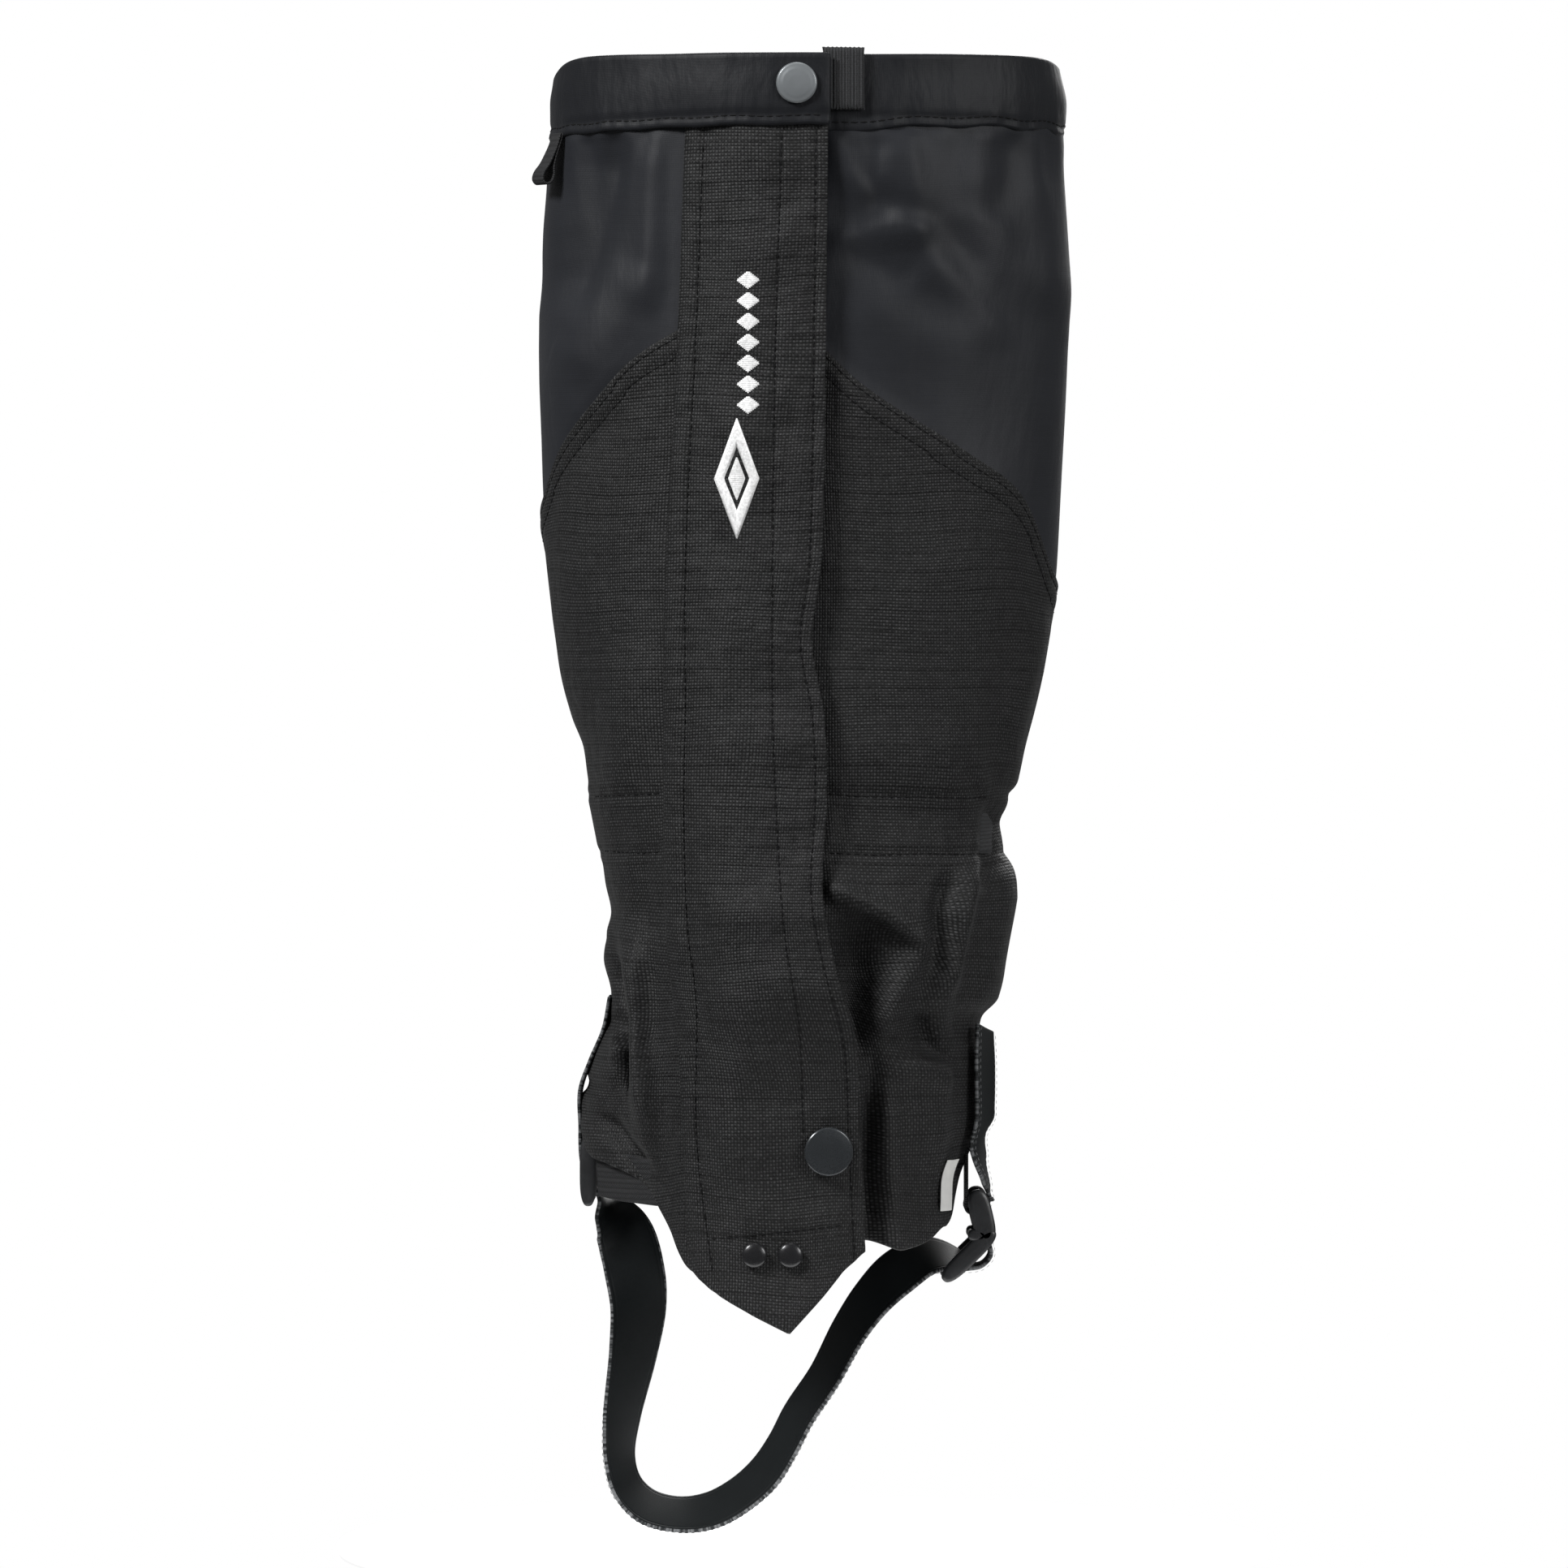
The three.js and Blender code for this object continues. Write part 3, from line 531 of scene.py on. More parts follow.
def weave(g, u, v, pitch_u, pitch_v):
    """A plain weave's height, 0 to 1, and which thread is on top."""
    crossing = g.product(*(g.math("SINE", g.math("MULTIPLY", w, math.pi / pitch)) for w, pitch in (
        (u, pitch_u), (v, pitch_v),
    )))
    over = g.math("MULTIPLY_ADD", crossing, 3.0, 0.5, clamp=True)
    return g.math("POWER", g.math("ABSOLUTE", crossing), 1.2), over


def grid_lines(g, value, spacing, width):
    """1 on thin lines that lie spacing apart, 0 between them."""
    place = g.math("PINGPONG", value, spacing / 2)
    return g.span(place, width / 2, width, 1.0, 0.0)


def ripstop_material():
    """Textured plain weave with uneven threads, flecks and a faint grid of heavier ones."""
    g = Graph("ripstop_cloth")
    place, u, v = g.threads()
    height, over = weave(g, u, v, 1.1, 1.0)
    lines = g.math("MAXIMUM", grid_lines(g, v, 6.2, 0.45), g.product(grid_lines(g, u, 6.6, 0.4), 0.6))
    # Painted highlight: the colour is lighter on the thread tops and on the upper thread, and painted shade
    # darkens the gaps; the blotches are random thread tone.
    tone = g.product(
        g.math("POWER", height, 1.2), g.span(over, 0, 1, 0.45, 1.0), g.blotches(place, 1.3, 0.45, 1.5),
        g.blotches(place, 0.5, 0.4, 1.6, (0.35, 3.2, 1)), g.blotches(place, 0.5, 0.6, 1.4, (3.2, 0.3, 1)),
        g.blotches(place, 0.028, 0.86, 1.14),
    )
    tone = g.math("MAXIMUM", g.math("SUBTRACT", tone, g.product(lines, 0.22)), 0.0)
    normal = g.bump(g.noise(place, 0.085, 4.0, (1, 0.8, 1)), 2.6, 0.7)
    normal = g.bump(g.math("MULTIPLY_ADD", lines, 0.35, g.product(height, 0.8)), 0.26, 0.8, normal)
    return g.set(
        Base_Color=g.colour(tone, (0.0009, 0.0009, 0.001), (0.039, 0.0395, 0.0405)), Roughness=0.62,
        Normal=normal, Specular_IOR_Level=0.24, Sheen_Weight=0.03, Sheen_Roughness=0.5,
    )


def nylon_material(name, light, crumple):
    """Smooth coated nylon. crumple is the height in mm of the small creases across a folded edge."""
    g = Graph(name)
    place, u, v = g.threads()
    height, _ = weave(g, u, v, 0.42, 0.42)
    # Painted highlight on the thread tops and painted shade in the gaps between them, from the weave height;
    # the blotches are random tone.
    tone = g.product(
        g.blotches(place, 0.02, 0.82, 1.12), g.blotches(place, 0.4, 0.94, 1.06, (0.12, 2.4, 1), 2.0),
        g.span(height, 0, 1, 0.84, 1.0),
    )
    normal = g.bump(g.noise(place, 0.032, 1.5, (1, 0.6, 1)), 3.0, 0.7)
    normal = g.bump(g.noise(place, 0.11, 3.0, (1.6, 0.5, 1)), crumple, 0.8, normal)
    normal = g.bump(height, 0.05, 0.4, normal)
    return g.set(
        Base_Color=g.colour(tone, (0.0015, 0.0017, 0.0022), light), Roughness=0.56, Normal=normal,
        Specular_IOR_Level=0.2, Sheen_Weight=0.05, Sheen_Roughness=0.35,
    )


def lining_material():
    """Fine dull weave."""
    g = Graph("lining_cloth")
    place, u, v = g.threads()
    height, _ = weave(g, u, v, 0.5, 0.5)
    # Painted highlight on the thread tops and painted shade in the gaps, from the weave height; the blotches
    # are random tone.
    tone = g.product(g.blotches(place, 0.05, 0.7, 1.1), g.span(height, 0, 1, 0.6, 1.0))
    colour = g.colour(tone, (0.006, 0.006, 0.007), (0.028, 0.029, 0.032))
    normal = g.bump(height, 0.08, 0.5, g.bump(g.noise(place, 0.12, 3.0), 1.0, 0.4))
    return g.set(Base_Color=colour, Roughness=0.7, Normal=normal, Specular_IOR_Level=0.25)


def elastic_material(name, dark, light, rib, along_u):
    """Knitted elastic: raised ribs, and short stitches along each rib."""
    g = Graph(name)
    place, u, v = g.threads()
    across, along = (u, v) if along_u else (v, u)
    ribs = g.math("ABSOLUTE", g.math("SINE", g.product(across, math.pi / rib)))
    knit = g.math("ABSOLUTE", g.math("SINE", g.product(along, math.pi / (rib * 0.6))))
    # Painted shade darkens the grooves between the ribs and the knit stitches, and painted highlight lightens
    # their crests; the blotches are random tone.
    tone = g.product(
        g.math("POWER", ribs, 0.7), g.span(knit, 0, 1, 0.7, 1.0), g.blotches(place, 1.4, 0.7, 1.15),
    )
    height = g.math("MULTIPLY_ADD", knit, 0.25, ribs)
    return g.set(
        Base_Color=g.colour(tone, dark, light), Roughness=0.82, Normal=g.bump(height, 0.28, 0.8),
        Specular_IOR_Level=0.25, Sheen_Weight=0.1,
    )


def webbing_material():
    """Herringbone webbing with a little fuzz."""
    g = Graph("webbing_weave")
    place, u, v = g.threads()
    slant = g.math("ADD", u, g.product(g.math("PINGPONG", v, 1.6), 0.9))
    height, _ = weave(g, slant, v, 0.75, 1.6)
    # Painted highlight on the thread tops and painted shade in the gaps of the herringbone; the blotches are
    # random tone.
    tone = g.product(g.span(height, 0, 1, 0.3, 1.0), g.blotches(place, 1.1, 0.65, 1.2))
    colour = g.colour(tone, (0.004, 0.004, 0.0045), (0.022, 0.0225, 0.024))
    return g.set(Base_Color=colour, Roughness=0.76, Normal=g.bump(height, 0.3, 0.8), Specular_IOR_Level=0.3)


def tape_material(name, hooks):
    """Hook tape is a field of small dots in rows, loop tape is a fuzzy pile."""
    g = Graph(name)
    place, u, v = g.threads()
    fuzz = g.noise(place, 1.6 if hooks else 0.9, 5.0)
    if hooks:
        rows, _ = weave(g, u, v, 1.1, 0.9)
        height = g.product(g.math("POWER", rows, 2.0), g.span(fuzz, 0.3, 0.7, 0.6, 1.1))
    else:
        height = g.math("MULTIPLY_ADD", fuzz, 0.8, g.product(g.noise(place, 0.35, 4.0), 0.4))
    # For hook tape the raised hook rows are painted lighter as highlight; for loop tape the tone follows random
    # noise.
    colour = g.colour(height, (0.0035, 0.0035, 0.004), (0.026, 0.026, 0.028))
    return g.set(
        Base_Color=colour, Roughness=0.6 if hooks else 0.95, Normal=g.bump(height, 0.45, 0.9), Sheen_Weight=0.2,
        Specular_IOR_Level=0.3,
    )


def metal_material(name, dark, light, rough, metallic):
    """Lacquered metal with faint scratches in its gloss and a cloudy tone between its dark and light colours.
    """
    g = Graph(name)
    place = g.object_place()
    cloud = g.noise(place, 60.0, 2.0)
    scratch = g.noise(place, 900.0, 2.0)
    colour = g.colour(g.span(cloud, 0.35, 0.65, 0.35, 0.85), dark, light)
    roughness = g.math("MULTIPLY_ADD", g.span(scratch, 0.35, 0.65, 0.0, 1.0), 0.04, rough)
    return g.set(
        Base_Color=colour, Metallic=metallic, Roughness=roughness,
        Coat_Weight=0.35, Coat_Roughness=0.22,
    )


def plastic_material():
    """Moulded plastic with a fine grain."""
    g = Graph("moulded_plastic")
    place = g.object_place()
    grain = g.noise(place, 1600.0, 3.0)
    colour = g.colour(g.blotches(place, 120.0, 0.0, 1.0), (0.009, 0.0095, 0.0105), (0.017, 0.018, 0.02))
    return g.set(
        Base_Color=colour, Roughness=g.span(grain, 0.3, 0.7, 0.34, 0.5), Normal=g.bump(grain, 0.03, 0.4),
        Specular_IOR_Level=0.5,
    )


def strap_material():
    """A moulded strap: satin face with a fine grain, and a pale cut edge. Its v runs across the strap."""
    g = Graph("coated_strap")
    place, _, v = g.threads()
    grain = g.noise(place, 2.2, 4.0)
    side = g.math("ABSOLUTE", v)
    ridge = g.math("ABSOLUTE", g.math("SUBTRACT", side, STRAP_WIDTH / 2 - 1.3))
    ridge = g.span(ridge, 0.0, 0.5, 1.0, 0.0)
    tone = g.product(g.span(grain, 0.3, 0.7, 0.7, 1.1), g.blotches(place, 0.08, 0.8, 1.1))
    base = g.colour(tone, (0.0012, 0.0016, 0.0018), (0.0052, 0.0066, 0.0072))
    worn = g.span(g.noise(place, 0.9, 3.0, (1.2, 0.2, 1)), 0.42, 0.6, 0.08, 1.0)
    edge = g.product(g.span(side, STRAP_WIDTH / 2 - 0.32, STRAP_WIDTH / 2 - 0.1, 0.0, 1.0), worn)
    height = g.math("MULTIPLY_ADD", ridge, -0.7, g.product(grain, 0.25))
    return g.set(
        Base_Color=g.colour(edge, base, (0.13, 0.134, 0.138)), Roughness=g.span(grain, 0.3, 0.7, 0.52, 0.64),
        Normal=g.bump(height, 0.16, 0.7), Specular_IOR_Level=0.12,
    )


def thread_material(name, dark, light, rough=0.55):
    """Sewing thread: two twisted plies."""
    g = Graph(name)
    place = g.object_place()
    twist = g.noise(place, 1400.0, 2.0)
    colour = g.colour(g.span(twist, 0.3, 0.7, 0.0, 1.0), dark, light)
    return g.set(Base_Color=colour, Roughness=rough, Normal=g.bump(twist, 0.05, 0.5), Specular_IOR_Level=0.2)


def label_material():
    """Pale woven satin, a little soiled."""
    g = Graph("label_satin")
    place, u, v = g.threads()
    height, _ = weave(g, u, v, 0.3, 0.3)
    # The thread tops are painted lighter as highlight; the blotches are real soiling.
    tone = g.product(g.blotches(place, 0.3, 0.8, 1.0), g.span(height, 0, 1, 0.85, 1.0))
    colour = g.colour(tone, (0.3, 0.3, 0.3), (0.62, 0.62, 0.6))
    return g.set(Base_Color=colour, Roughness=0.6, Normal=g.bump(height, 0.05, 0.4))


def floor_material():
    g = Graph("pale_floor")
    colour = g.colour(g.noise(g.object_place(), 6.0, 3.0), (0.9, 0.9, 0.9), (0.97, 0.97, 0.97))
    return g.set(Base_Color=colour, Roughness=0.9, Emission_Color=(1, 1, 1, 1), Emission_Strength=0.75)


RIPSTOP = ripstop_material()
NYLON = nylon_material("coated_nylon", (0.0135, 0.0146, 0.018), 0.35)
# The top hem is the same coated nylon as the panels, painted darker as shade.
HEM_NYLON = nylon_material("coated_nylon_hem_painted_shade", (0.0064, 0.0071, 0.0092), 0.9)
LINING = lining_material()
ELASTIC = elastic_material("ribbed_elastic", (0.004, 0.004, 0.0045), (0.03, 0.031, 0.033), 0.95, True)
BAND = elastic_material("knitted_band", (0.004, 0.004, 0.0045), (0.022, 0.023, 0.025), 1.3, False)
WEBBING = webbing_material()
HOOKS = tape_material("hook_pile", True)
LOOPS = tape_material("loop_pile", False)
SEAM_TAPE = tape_material("seam_binding", False)
# The top snap cap is the same dark lacquered metal as the low one; its lighter grey is painted reflection.
TOP_METAL = metal_material("lacquer_grey_painted_reflection", (0.085, 0.094, 0.1), (0.165, 0.177, 0.185), 0.36, 0.3)
LOW_METAL = metal_material("dark_lacquer", (0.014, 0.0165, 0.019), (0.032, 0.036, 0.04), 0.26, 0.4)
BLACK_METAL = metal_material("black_lacquer", (0.006, 0.006, 0.007), (0.016, 0.016, 0.018), 0.26, 0.4)
PLASTIC = plastic_material()
STRAP = strap_material()
THREAD = thread_material("black_thread", (0.001, 0.001, 0.0012), (0.0035, 0.0035, 0.004), 0.8)
PALE_THREAD = thread_material("pale_thread", (0.1, 0.104, 0.108), (0.24, 0.245, 0.25))
WHITE_THREAD = thread_material("white_satin_thread", (0.62, 0.62, 0.62), (0.9, 0.9, 0.9), 0.4)
LABEL = label_material()


# ---------------------------------------------------------------- panels
def gathers(x, distance, spacing, height, reach, seed):
    """Short puckers that start at a line and die out with distance from it, both in mm."""
    drift = 1.6 * np.sin(x / 9.0 + seed) + 1.1 * np.sin(x / 17.0 + 2 * seed)
    wave = np.sin(2 * math.pi * x / spacing + drift)
    uneven = 0.6 + 0.4 * np.sin(x / 14.0 + 3.1 * seed)
    return height * uneven * wave * np.exp(-np.abs(distance) / reach)


def seam_pucker(x, distance, seed, depth=0.35, width=1.3):
    """The narrow groove of a stitched line, with small puckers across it."""
    groove = -depth * np.exp(-((distance / width) ** 2))
    pucker = 0.16 * np.sin(x * 1.15 + 2 * np.sin(x / 6.0 + seed)) * np.exp(-((distance / 4.0) ** 2))
    return groove + pucker


def ankle_relief(x, z, seed):
    """The elastic channel round the ankle: it draws in, and gathers above and below it."""
    band = 9.3
    total = seam_pucker(x, z - band, seed, 0.5) + seam_pucker(x, z + band, seed + 1, 0.5)
    inside = ease(band + 1, band - 4, np.abs(z))
    total = total + 0.55 * inside * ripple(x, z, 9, seed, 4.0)
    away = np.maximum(np.abs(z) - band, 0)
    strength = ease(0, 5, away)
    total = total + strength * gathers(x, away, 13.0, 1.1, 16, seed)
    return total


def upper_relief(x, z, side):
    """The nylon above the seam: soft vertical folds that hang from the gathered top hem."""
    below = HEM_LINE - z
    total = gathers(x, below, 11.0, 0.95, 14, 3 if side > 0 else 8)
    total = total + 1.3 * ripple(x, z, 62, 11 if side > 0 else 12, 1.8)
    total = total + 0.4 * ripple(x, z, 22, 15, 2.4)
    if side < 0:
        total = add_folds(total, x, z, [
            ([(-58, 224), (-63, 205), (-69, 180), (-76, 160)], 6, 11, -4.2),
            ([(-43, 224), (-45, 200), (-47, 178), (-52, 160)], 8, 7, 2.6),
            ([(-46, 178), (-60, 160), (-74, 140)], 9, 12, 1.6),
        ])
    else:
        total = add_folds(total, x, z, [
            ([(4, 186), (18, 186), (30, 191), (42, 186)], 4, 8, 1.7),
            ([(8, 222), (13, 208), (22, 196)], 3, 5, 1.3),
            ([(24, 222), (22, 206), (26, 190)], 3, 4, -1.2),
            ([(30, 184), (48, 172), (66, 150)], 5, 7, 1.3),
            ([(30, 222), (34, 206), (36, 192), (34, 180)], 6, 9, 1.8),
            ([(66, 222), (64, 206), (58, 190)], 5, 7, -1.6),
            ([(74, 214), (76, 190), (80, 160)], 6, 6, 1.5),
            ([(10, 185), (24, 178), (36, 170)], 9, 6, -1.8),
            ([(12, 216), (30, 204), (44, 178), (47, 160)], 12, 9, 1.8),
            ([(52, 218), (55, 196), (66, 180), (84, 168)], 7, 10, 1.5),
            ([(20, 200), (40, 192), (52, 180), (50, 168)], 5, 6, -1.2),
            ([(10, 168), (34, 156), (60, 150)], 8, 12, 1.0),
        ])
    return total


def lower_left_relief(x, z):
    total = ankle_relief(x, z, 4)
    total = total + 0.8 * ripple(x, z, 46, 21, 1.6)
    total = add_folds(total, x, z, [
        ([(-60, -38), (-57.5, -51), (-55.5, -63), (-55.8, -75), (-56.6, -90)], 2.8, 2.6, -5.0),
        ([(-54, -62), (-57, -64), (-61, -62)], 2.6, 3.0, -2.0),
        ([(-57, -68), (-63, -74), (-67, -84)], 4, 5, 3.0),
        ([(-66, -92), (-58, -98), (-50, -108), (-46, -116)], 2.6, 4, -3.0),
        ([(-53, -32), (-51, -54), (-50.5, -74), (-48, -98)], 3.4, 6, 4.4),
        ([(-52, -82), (-47, -98), (-42, -116)], 6, 7, 1.8),
        ([(-62, -36), (-64, -56), (-67, -78)], 4, 5, 1.6),
        ([(-58, -88), (-66, -84), (-75, -84)], 3.5, 5, -2.2),
        ([(-44, -60), (-47, -84), (-45, -108), (-40, -128)], 6, 7, 1.6),
        ([(-70, -88), (-60, -98), (-50, -106)], 4, 4, 1.2),
        ([(-50, 60), (-56, 30), (-60, 10)], 8, 10, 1.1),
        ([(-72, 70), (-68, 40), (-62, 14)], 7, 9, -1.2),
    ])
    under_strap = ease(-57, -62, x) * ease(-90, -82, x) * ease(-48, -55, z)
    return np.minimum(total, mix(total, -0.3, under_strap))


def lower_right_relief(x, z):
    total = ankle_relief(x, z, 7)
    total = total + 0.7 * ripple(x, z, 46, 22, 1.6)
    total = total + fold(x, z, [(3, -18), (14, -24), (25, -29), (34, -36), (41, -44)], 5, 2.4, 5.2)
    total = total + hollow(x, z, 17, -46, 12, 16, 10.5)
    total = total + hollow(x, z, 15, -64, 7, 12, 5.0)
    total = add_folds(total, x, z, [
        ([(38, -36), (32, -48), (27, -58), (22, -72)], 4, 4.5, 5.0),
        ([(54, -8), (50, -26), (45, -46), (42, -60)], 3.5, 5, 5.2),
        ([(47, -12), (43, -32), (39, -50)], 3.4, 3.4, -4.2),
        ([(36, -58), (40, -70), (52, -78)], 3.6, 4.5, -4.4),
        ([(24, -80), (34, -76), (44, -79), (58, -86)], 3, 6, 3.4),
        ([(22, -74), (20.5, -100), (21, -158)], 3.2, 2.0, -5.4),
        ([(25, -74), (26, -96), (27, -116), (28, -158)], 4, 3, 2.6),
        ([(57, 8), (60, 0), (59, -12), (56, -24)], 3, 4, -3.4),
        ([(62, -6), (64, -24), (60, -44), (57, -62)], 4, 5, 2.6),
    ])
    under_strap = ease(43, 50, x) * ease(84, 74, x) * ease(-56, -64, z)
    total = np.minimum(total, mix(total, -2.8, under_strap))
    total = add_folds(total, x, z, [
        ([(70, 72), (66, 48), (60, 24), (56, 10)], 5, 6, -1.6),
        ([(76, 74), (72, 50), (65, 24)], 4, 5, 1.5),
        ([(30, 90), (34, 60), (30, 30)], 12, 14, 0.9),
    ])
    return total


def left_forward(x, z):
    """The left ankle's hanging folds, as a distance forwards, since they lie too far round to stand off it."""
    total = fold(x, z, [(-60, -30), (-57, -50), (-54.5, -63), (-55, -78), (-53, -100)], 2.6, 1.8, -5.5)
    total = add_folds(total, x, z, [
        ([(-54, -34), (-51.5, -56), (-50.5, -80), (-46, -110)], 3, 6, 4.0),
        ([(-56, -66), (-61, -76), (-64, -92)], 4, 5, 4.5),
        ([(-52, -66), (-58, -67), (-64, -62)], 2.2, 3, -3.5),
        ([(-68, -90), (-59, -97), (-50, -108), (-44, -122)], 2.4, 4, -3.5),
    ])
    return total


def back_relief(x, z, middle, half):
    """Folds on the tube's back, which the photograph doesn't show: soft waves and the drawn-in ankle."""
    beyond = ease(0, 16, np.abs(x - middle) - half)
    waves = 1.6 * ripple(x, z, 52, 31, 2.0) + 0.8 * ripple(x, z, 20, 32, 2.6)
    lower = ease(30, -20, z)
    return beyond * (waves + lower * 1.4 * ripple(x, z, 26, 33, 1.3))


def left_front_edge(z):
    return angle_at(PANEL_EDGE_LEFT, z)


def right_front_edge(z):
    return angle_at(smooth(PLACKET_RIGHT, z) + EDGE_GAP, z)


def panel_relief(side, x, z, seam_height):
    """A panel's folds. Both panels share them where they are sewn together."""
    low = lower_left_relief(x, z) if side < 0 else lower_right_relief(x, z)
    return mix(low, upper_relief(x, z, side), ease(-10, 6, z - seam_height))


def panel_points(side, low, high, cells, seam, lift=None):
    """A panel's outer face: from its front edge round to the back seam, with its folds."""
    u, v = grid(*cells)
    z = mix(low(u), high(u), v)
    if side < 0:
        angle = mix(left_front_edge(z), -math.pi + 0.003, u)
    else:
        angle = mix(right_front_edge(z), math.pi - 0.003, u)
    base = on_wall(angle, z, CLOTH)
    x = round_coordinate(angle, z)
    middle, half, _, _ = section(z)
    height = panel_relief(side, x, z, smooth(seam, u)) + back_relief(x, z, middle, half)
    height = height * ease(0, 5, HEM_LINE - z)
    if side < 0:
        height = height * ease(-41.5, -50, x)
    else:
        edge = smooth(FLAP_RIGHT, z)
        under = ease(3, -4, x - edge)
        height = np.where(height > 0, height * (1 - 0.75 * under), height * (1 - 0.3 * under))
        height = height * ease(0, 5, x - smooth(PLACKET_RIGHT, z) - EDGE_GAP)
    height = height * ease(0, 0.02, 1 - u)
    if lift is not None:
        height = height + lift(u, z)
    normal = outward_normals(base)
    if side < 0:
        normal = -normal
    points = base + normal * height[..., None]
    if side < 0:
        points[..., 1] -= left_forward(x, z) * ease(-42, -50, x)
    return base, points


def panel(name, side, low, high, cells, seam, material, replaced, lift=None):
    """One of the tube's four panels. low, high, seam and lift go by the share round from its front edge."""
    base, points = panel_points(side, low, high, cells, seam, lift)
    threads = thread_places(base)
    if side < 0:
        points, threads = points[::-1], threads[::-1]
    made = grid_object(name, points, CLOTH, threads)
    return finish_piece(made, "shell", material, replaced)


def seam_lip(seam):
    """The lower panel's folded top edge, which lies on the upper panel, and its two stitched rows."""
    def lift(u, z):
        below = smooth(seam, u) - z
        lip = 1.1 * ease(13, 2, below)
        rows = -0.35 * np.exp(-(((below - 2.0) / 1.0) ** 2)) - 0.3 * np.exp(-(((below - 7.5) / 1.0) ** 2))
        return lip + rows
    return lift


def hem_lip(hem, seam):
    lip = seam_lip(seam)

    def lift(u, z):
        above = z - smooth(hem, u)
        fat = 0.5 * ease(10, 7, above) - 0.3 * np.exp(-(((above - 8.5) / 1.0) ** 2))
        return lip(u, z) + fat
    return lift


def add_panels():
    """The nylon panels above and the ripstop panels below, by name."""
    made = {}
    for name, side, seam, hem in (("left", -1, SEAM_LEFT, HEM_LEFT), ("right", 1, SEAM_RIGHT, HEM_RIGHT)):
        made["upper_" + name] = panel(
            "upper_cloth_" + name, side, lambda u: smooth(seam, u) - 7, lambda u: HEM_LINE + 1.5 + 0 * u,
            UPPER_CELLS, seam, NYLON, ["upper_panel_" + name],
        )
        made["lower_" + name] = panel(
            "lower_cloth_" + name, side, lambda u: smooth(hem, u), lambda u: smooth(seam, u),
            LOWER_CELLS, seam, RIPSTOP, ["lower_panel_" + name], hem_lip(hem, seam),
        )
    return made


# ---------------------------------------------------------------- top hem
def hem_relief(x, z, seed):
    below = z - HEM_LINE
    total = 0.5 * ripple(x, z, 30, seed, 1.0) + gathers(x, below, 9.0, 0.3, 7, seed)
    total = total + seam_pucker(x, below - 1.6, seed, 0.5)
    return total + 0.35 * np.exp(-(((below - 11.5) / 8.0) ** 2))


def rim_height(angle):
    """How far the rim lies above its CAD height: level to the camera, with soft corners at the sides."""
    turned = np.degrees(np.abs(angle))
    rise = 2.6 * np.sin(angle) ** 2 * (turned < 90) + 2.6 * (turned >= 90) * ease(150, 90, turned)
    corner = np.where(angle < 0, 6.0, 2.4) * np.exp(-(((turned - 92) / 17) ** 2))
    return rise - corner - 2.6


def hem_band(name, side, start, cells, offset, low_wave, seed):
    """A band of the top hem, from start round to the back seam. Gives its object, without a body yet."""
    u, v = grid(*cells)
    z = mix(HEM_LINE - 0.9 + low_wave(u), TOP_RIM, v)
    angle = mix(start(z), side * (math.pi - 0.003), u)
    plain = on_wall(angle, z, 0.0)
    base = on_wall(angle, z, offset(plain[..., 0], angle))
    x = round_coordinate(angle, z)
    normal = outward_normals(base) * (1 if side > 0 else -1)
    points = base + normal * hem_relief(x, z, seed)[..., None]
    points[..., 2] += rim_height(angle) * ease(0.3, 1.0, v)
    threads = thread_places(base)
    if side < 0:
        points, threads = points[::-1], threads[::-1]
    return grid_object(name, points, HEM_THICKNESS, threads)


def front_band_offset(x, angle):
    """The band's outer face: on the wall at the left, and over the tapes in front."""
    over = mix(0.0, FLAP_HIGH, ease(-50, RAMP_END, x))
    return HEM_THICKNESS + 0.3 + np.where(np.cos(angle) > 0, over, 0.0)


def add_top_hem():
    left = hem_band(
        "top_band_left", -1, lambda z: angle_at(smooth(FLAP_RIGHT, z), z), LEFT_BAND_CELLS,
        front_band_offset, lambda u: 0.25 * np.sin(u * 70), 41,
    )
    finish_piece(left, None, HEM_NYLON, ["top_hem_left", "top_hem_front"])
    blend_flap(left)
    right = hem_band(
        "top_band_right", 1, lambda z: angle_at(PLACKET_LEFT, z), RIGHT_BAND_CELLS,
        lambda x, angle: HEM_THICKNESS + 0.3 + 0 * x,
        lambda u: -2.4 * ease(0.24, 0.12, u) + 1.2 * ease(0.2, 0.34, u) + 0.45 * np.sin(u * 60), 42,
    )
    finish_piece(right, "shell", HEM_NYLON, ["top_hem_right"])
    return left, right


# ---------------------------------------------------------------- flap
def front_points(left, right, low, high, offset, cells, relief):
    """A sheet on the front, as its smooth face and that face with its relief."""
    u, v = grid(*cells)
    z = mix(low(u), high(u), v)
    x = mix(left(z), right(z), u)
    base = on_front(x, z, offset(x, z))
    return base, base + outward_normals(base) * relief(x, z)[..., None]


FLAP_LOW = [
    (0, -140), (0.06, -144), (0.18, -149.5), (0.36, -155), (0.575, -161), (0.76, -149.5), (0.88, -141.5),
    (1, -135.5),
]
FLAP_STITCH_LEFT = [
    (-145, -28.6), (-100, -34.1), (-57, -34.1), (-34, -36.9), (1, -38.2), (35, -37.7), (82, -37.7),
    (149, -34.6), (222, -31.7),
]
FLAP_STITCH_INNER = [
    (-100, 0), (-63, -1.6), (-34, -6.2), (12, -9.1), (35, -9.9), (82, -9.9), (149, -9.1), (222, -6.8),
]


def flap_low(u):
    """The flap's bottom edge by share across: two straight cuts that meet in a blunt point."""
    return np.interp(u, *zip(*FLAP_LOW))


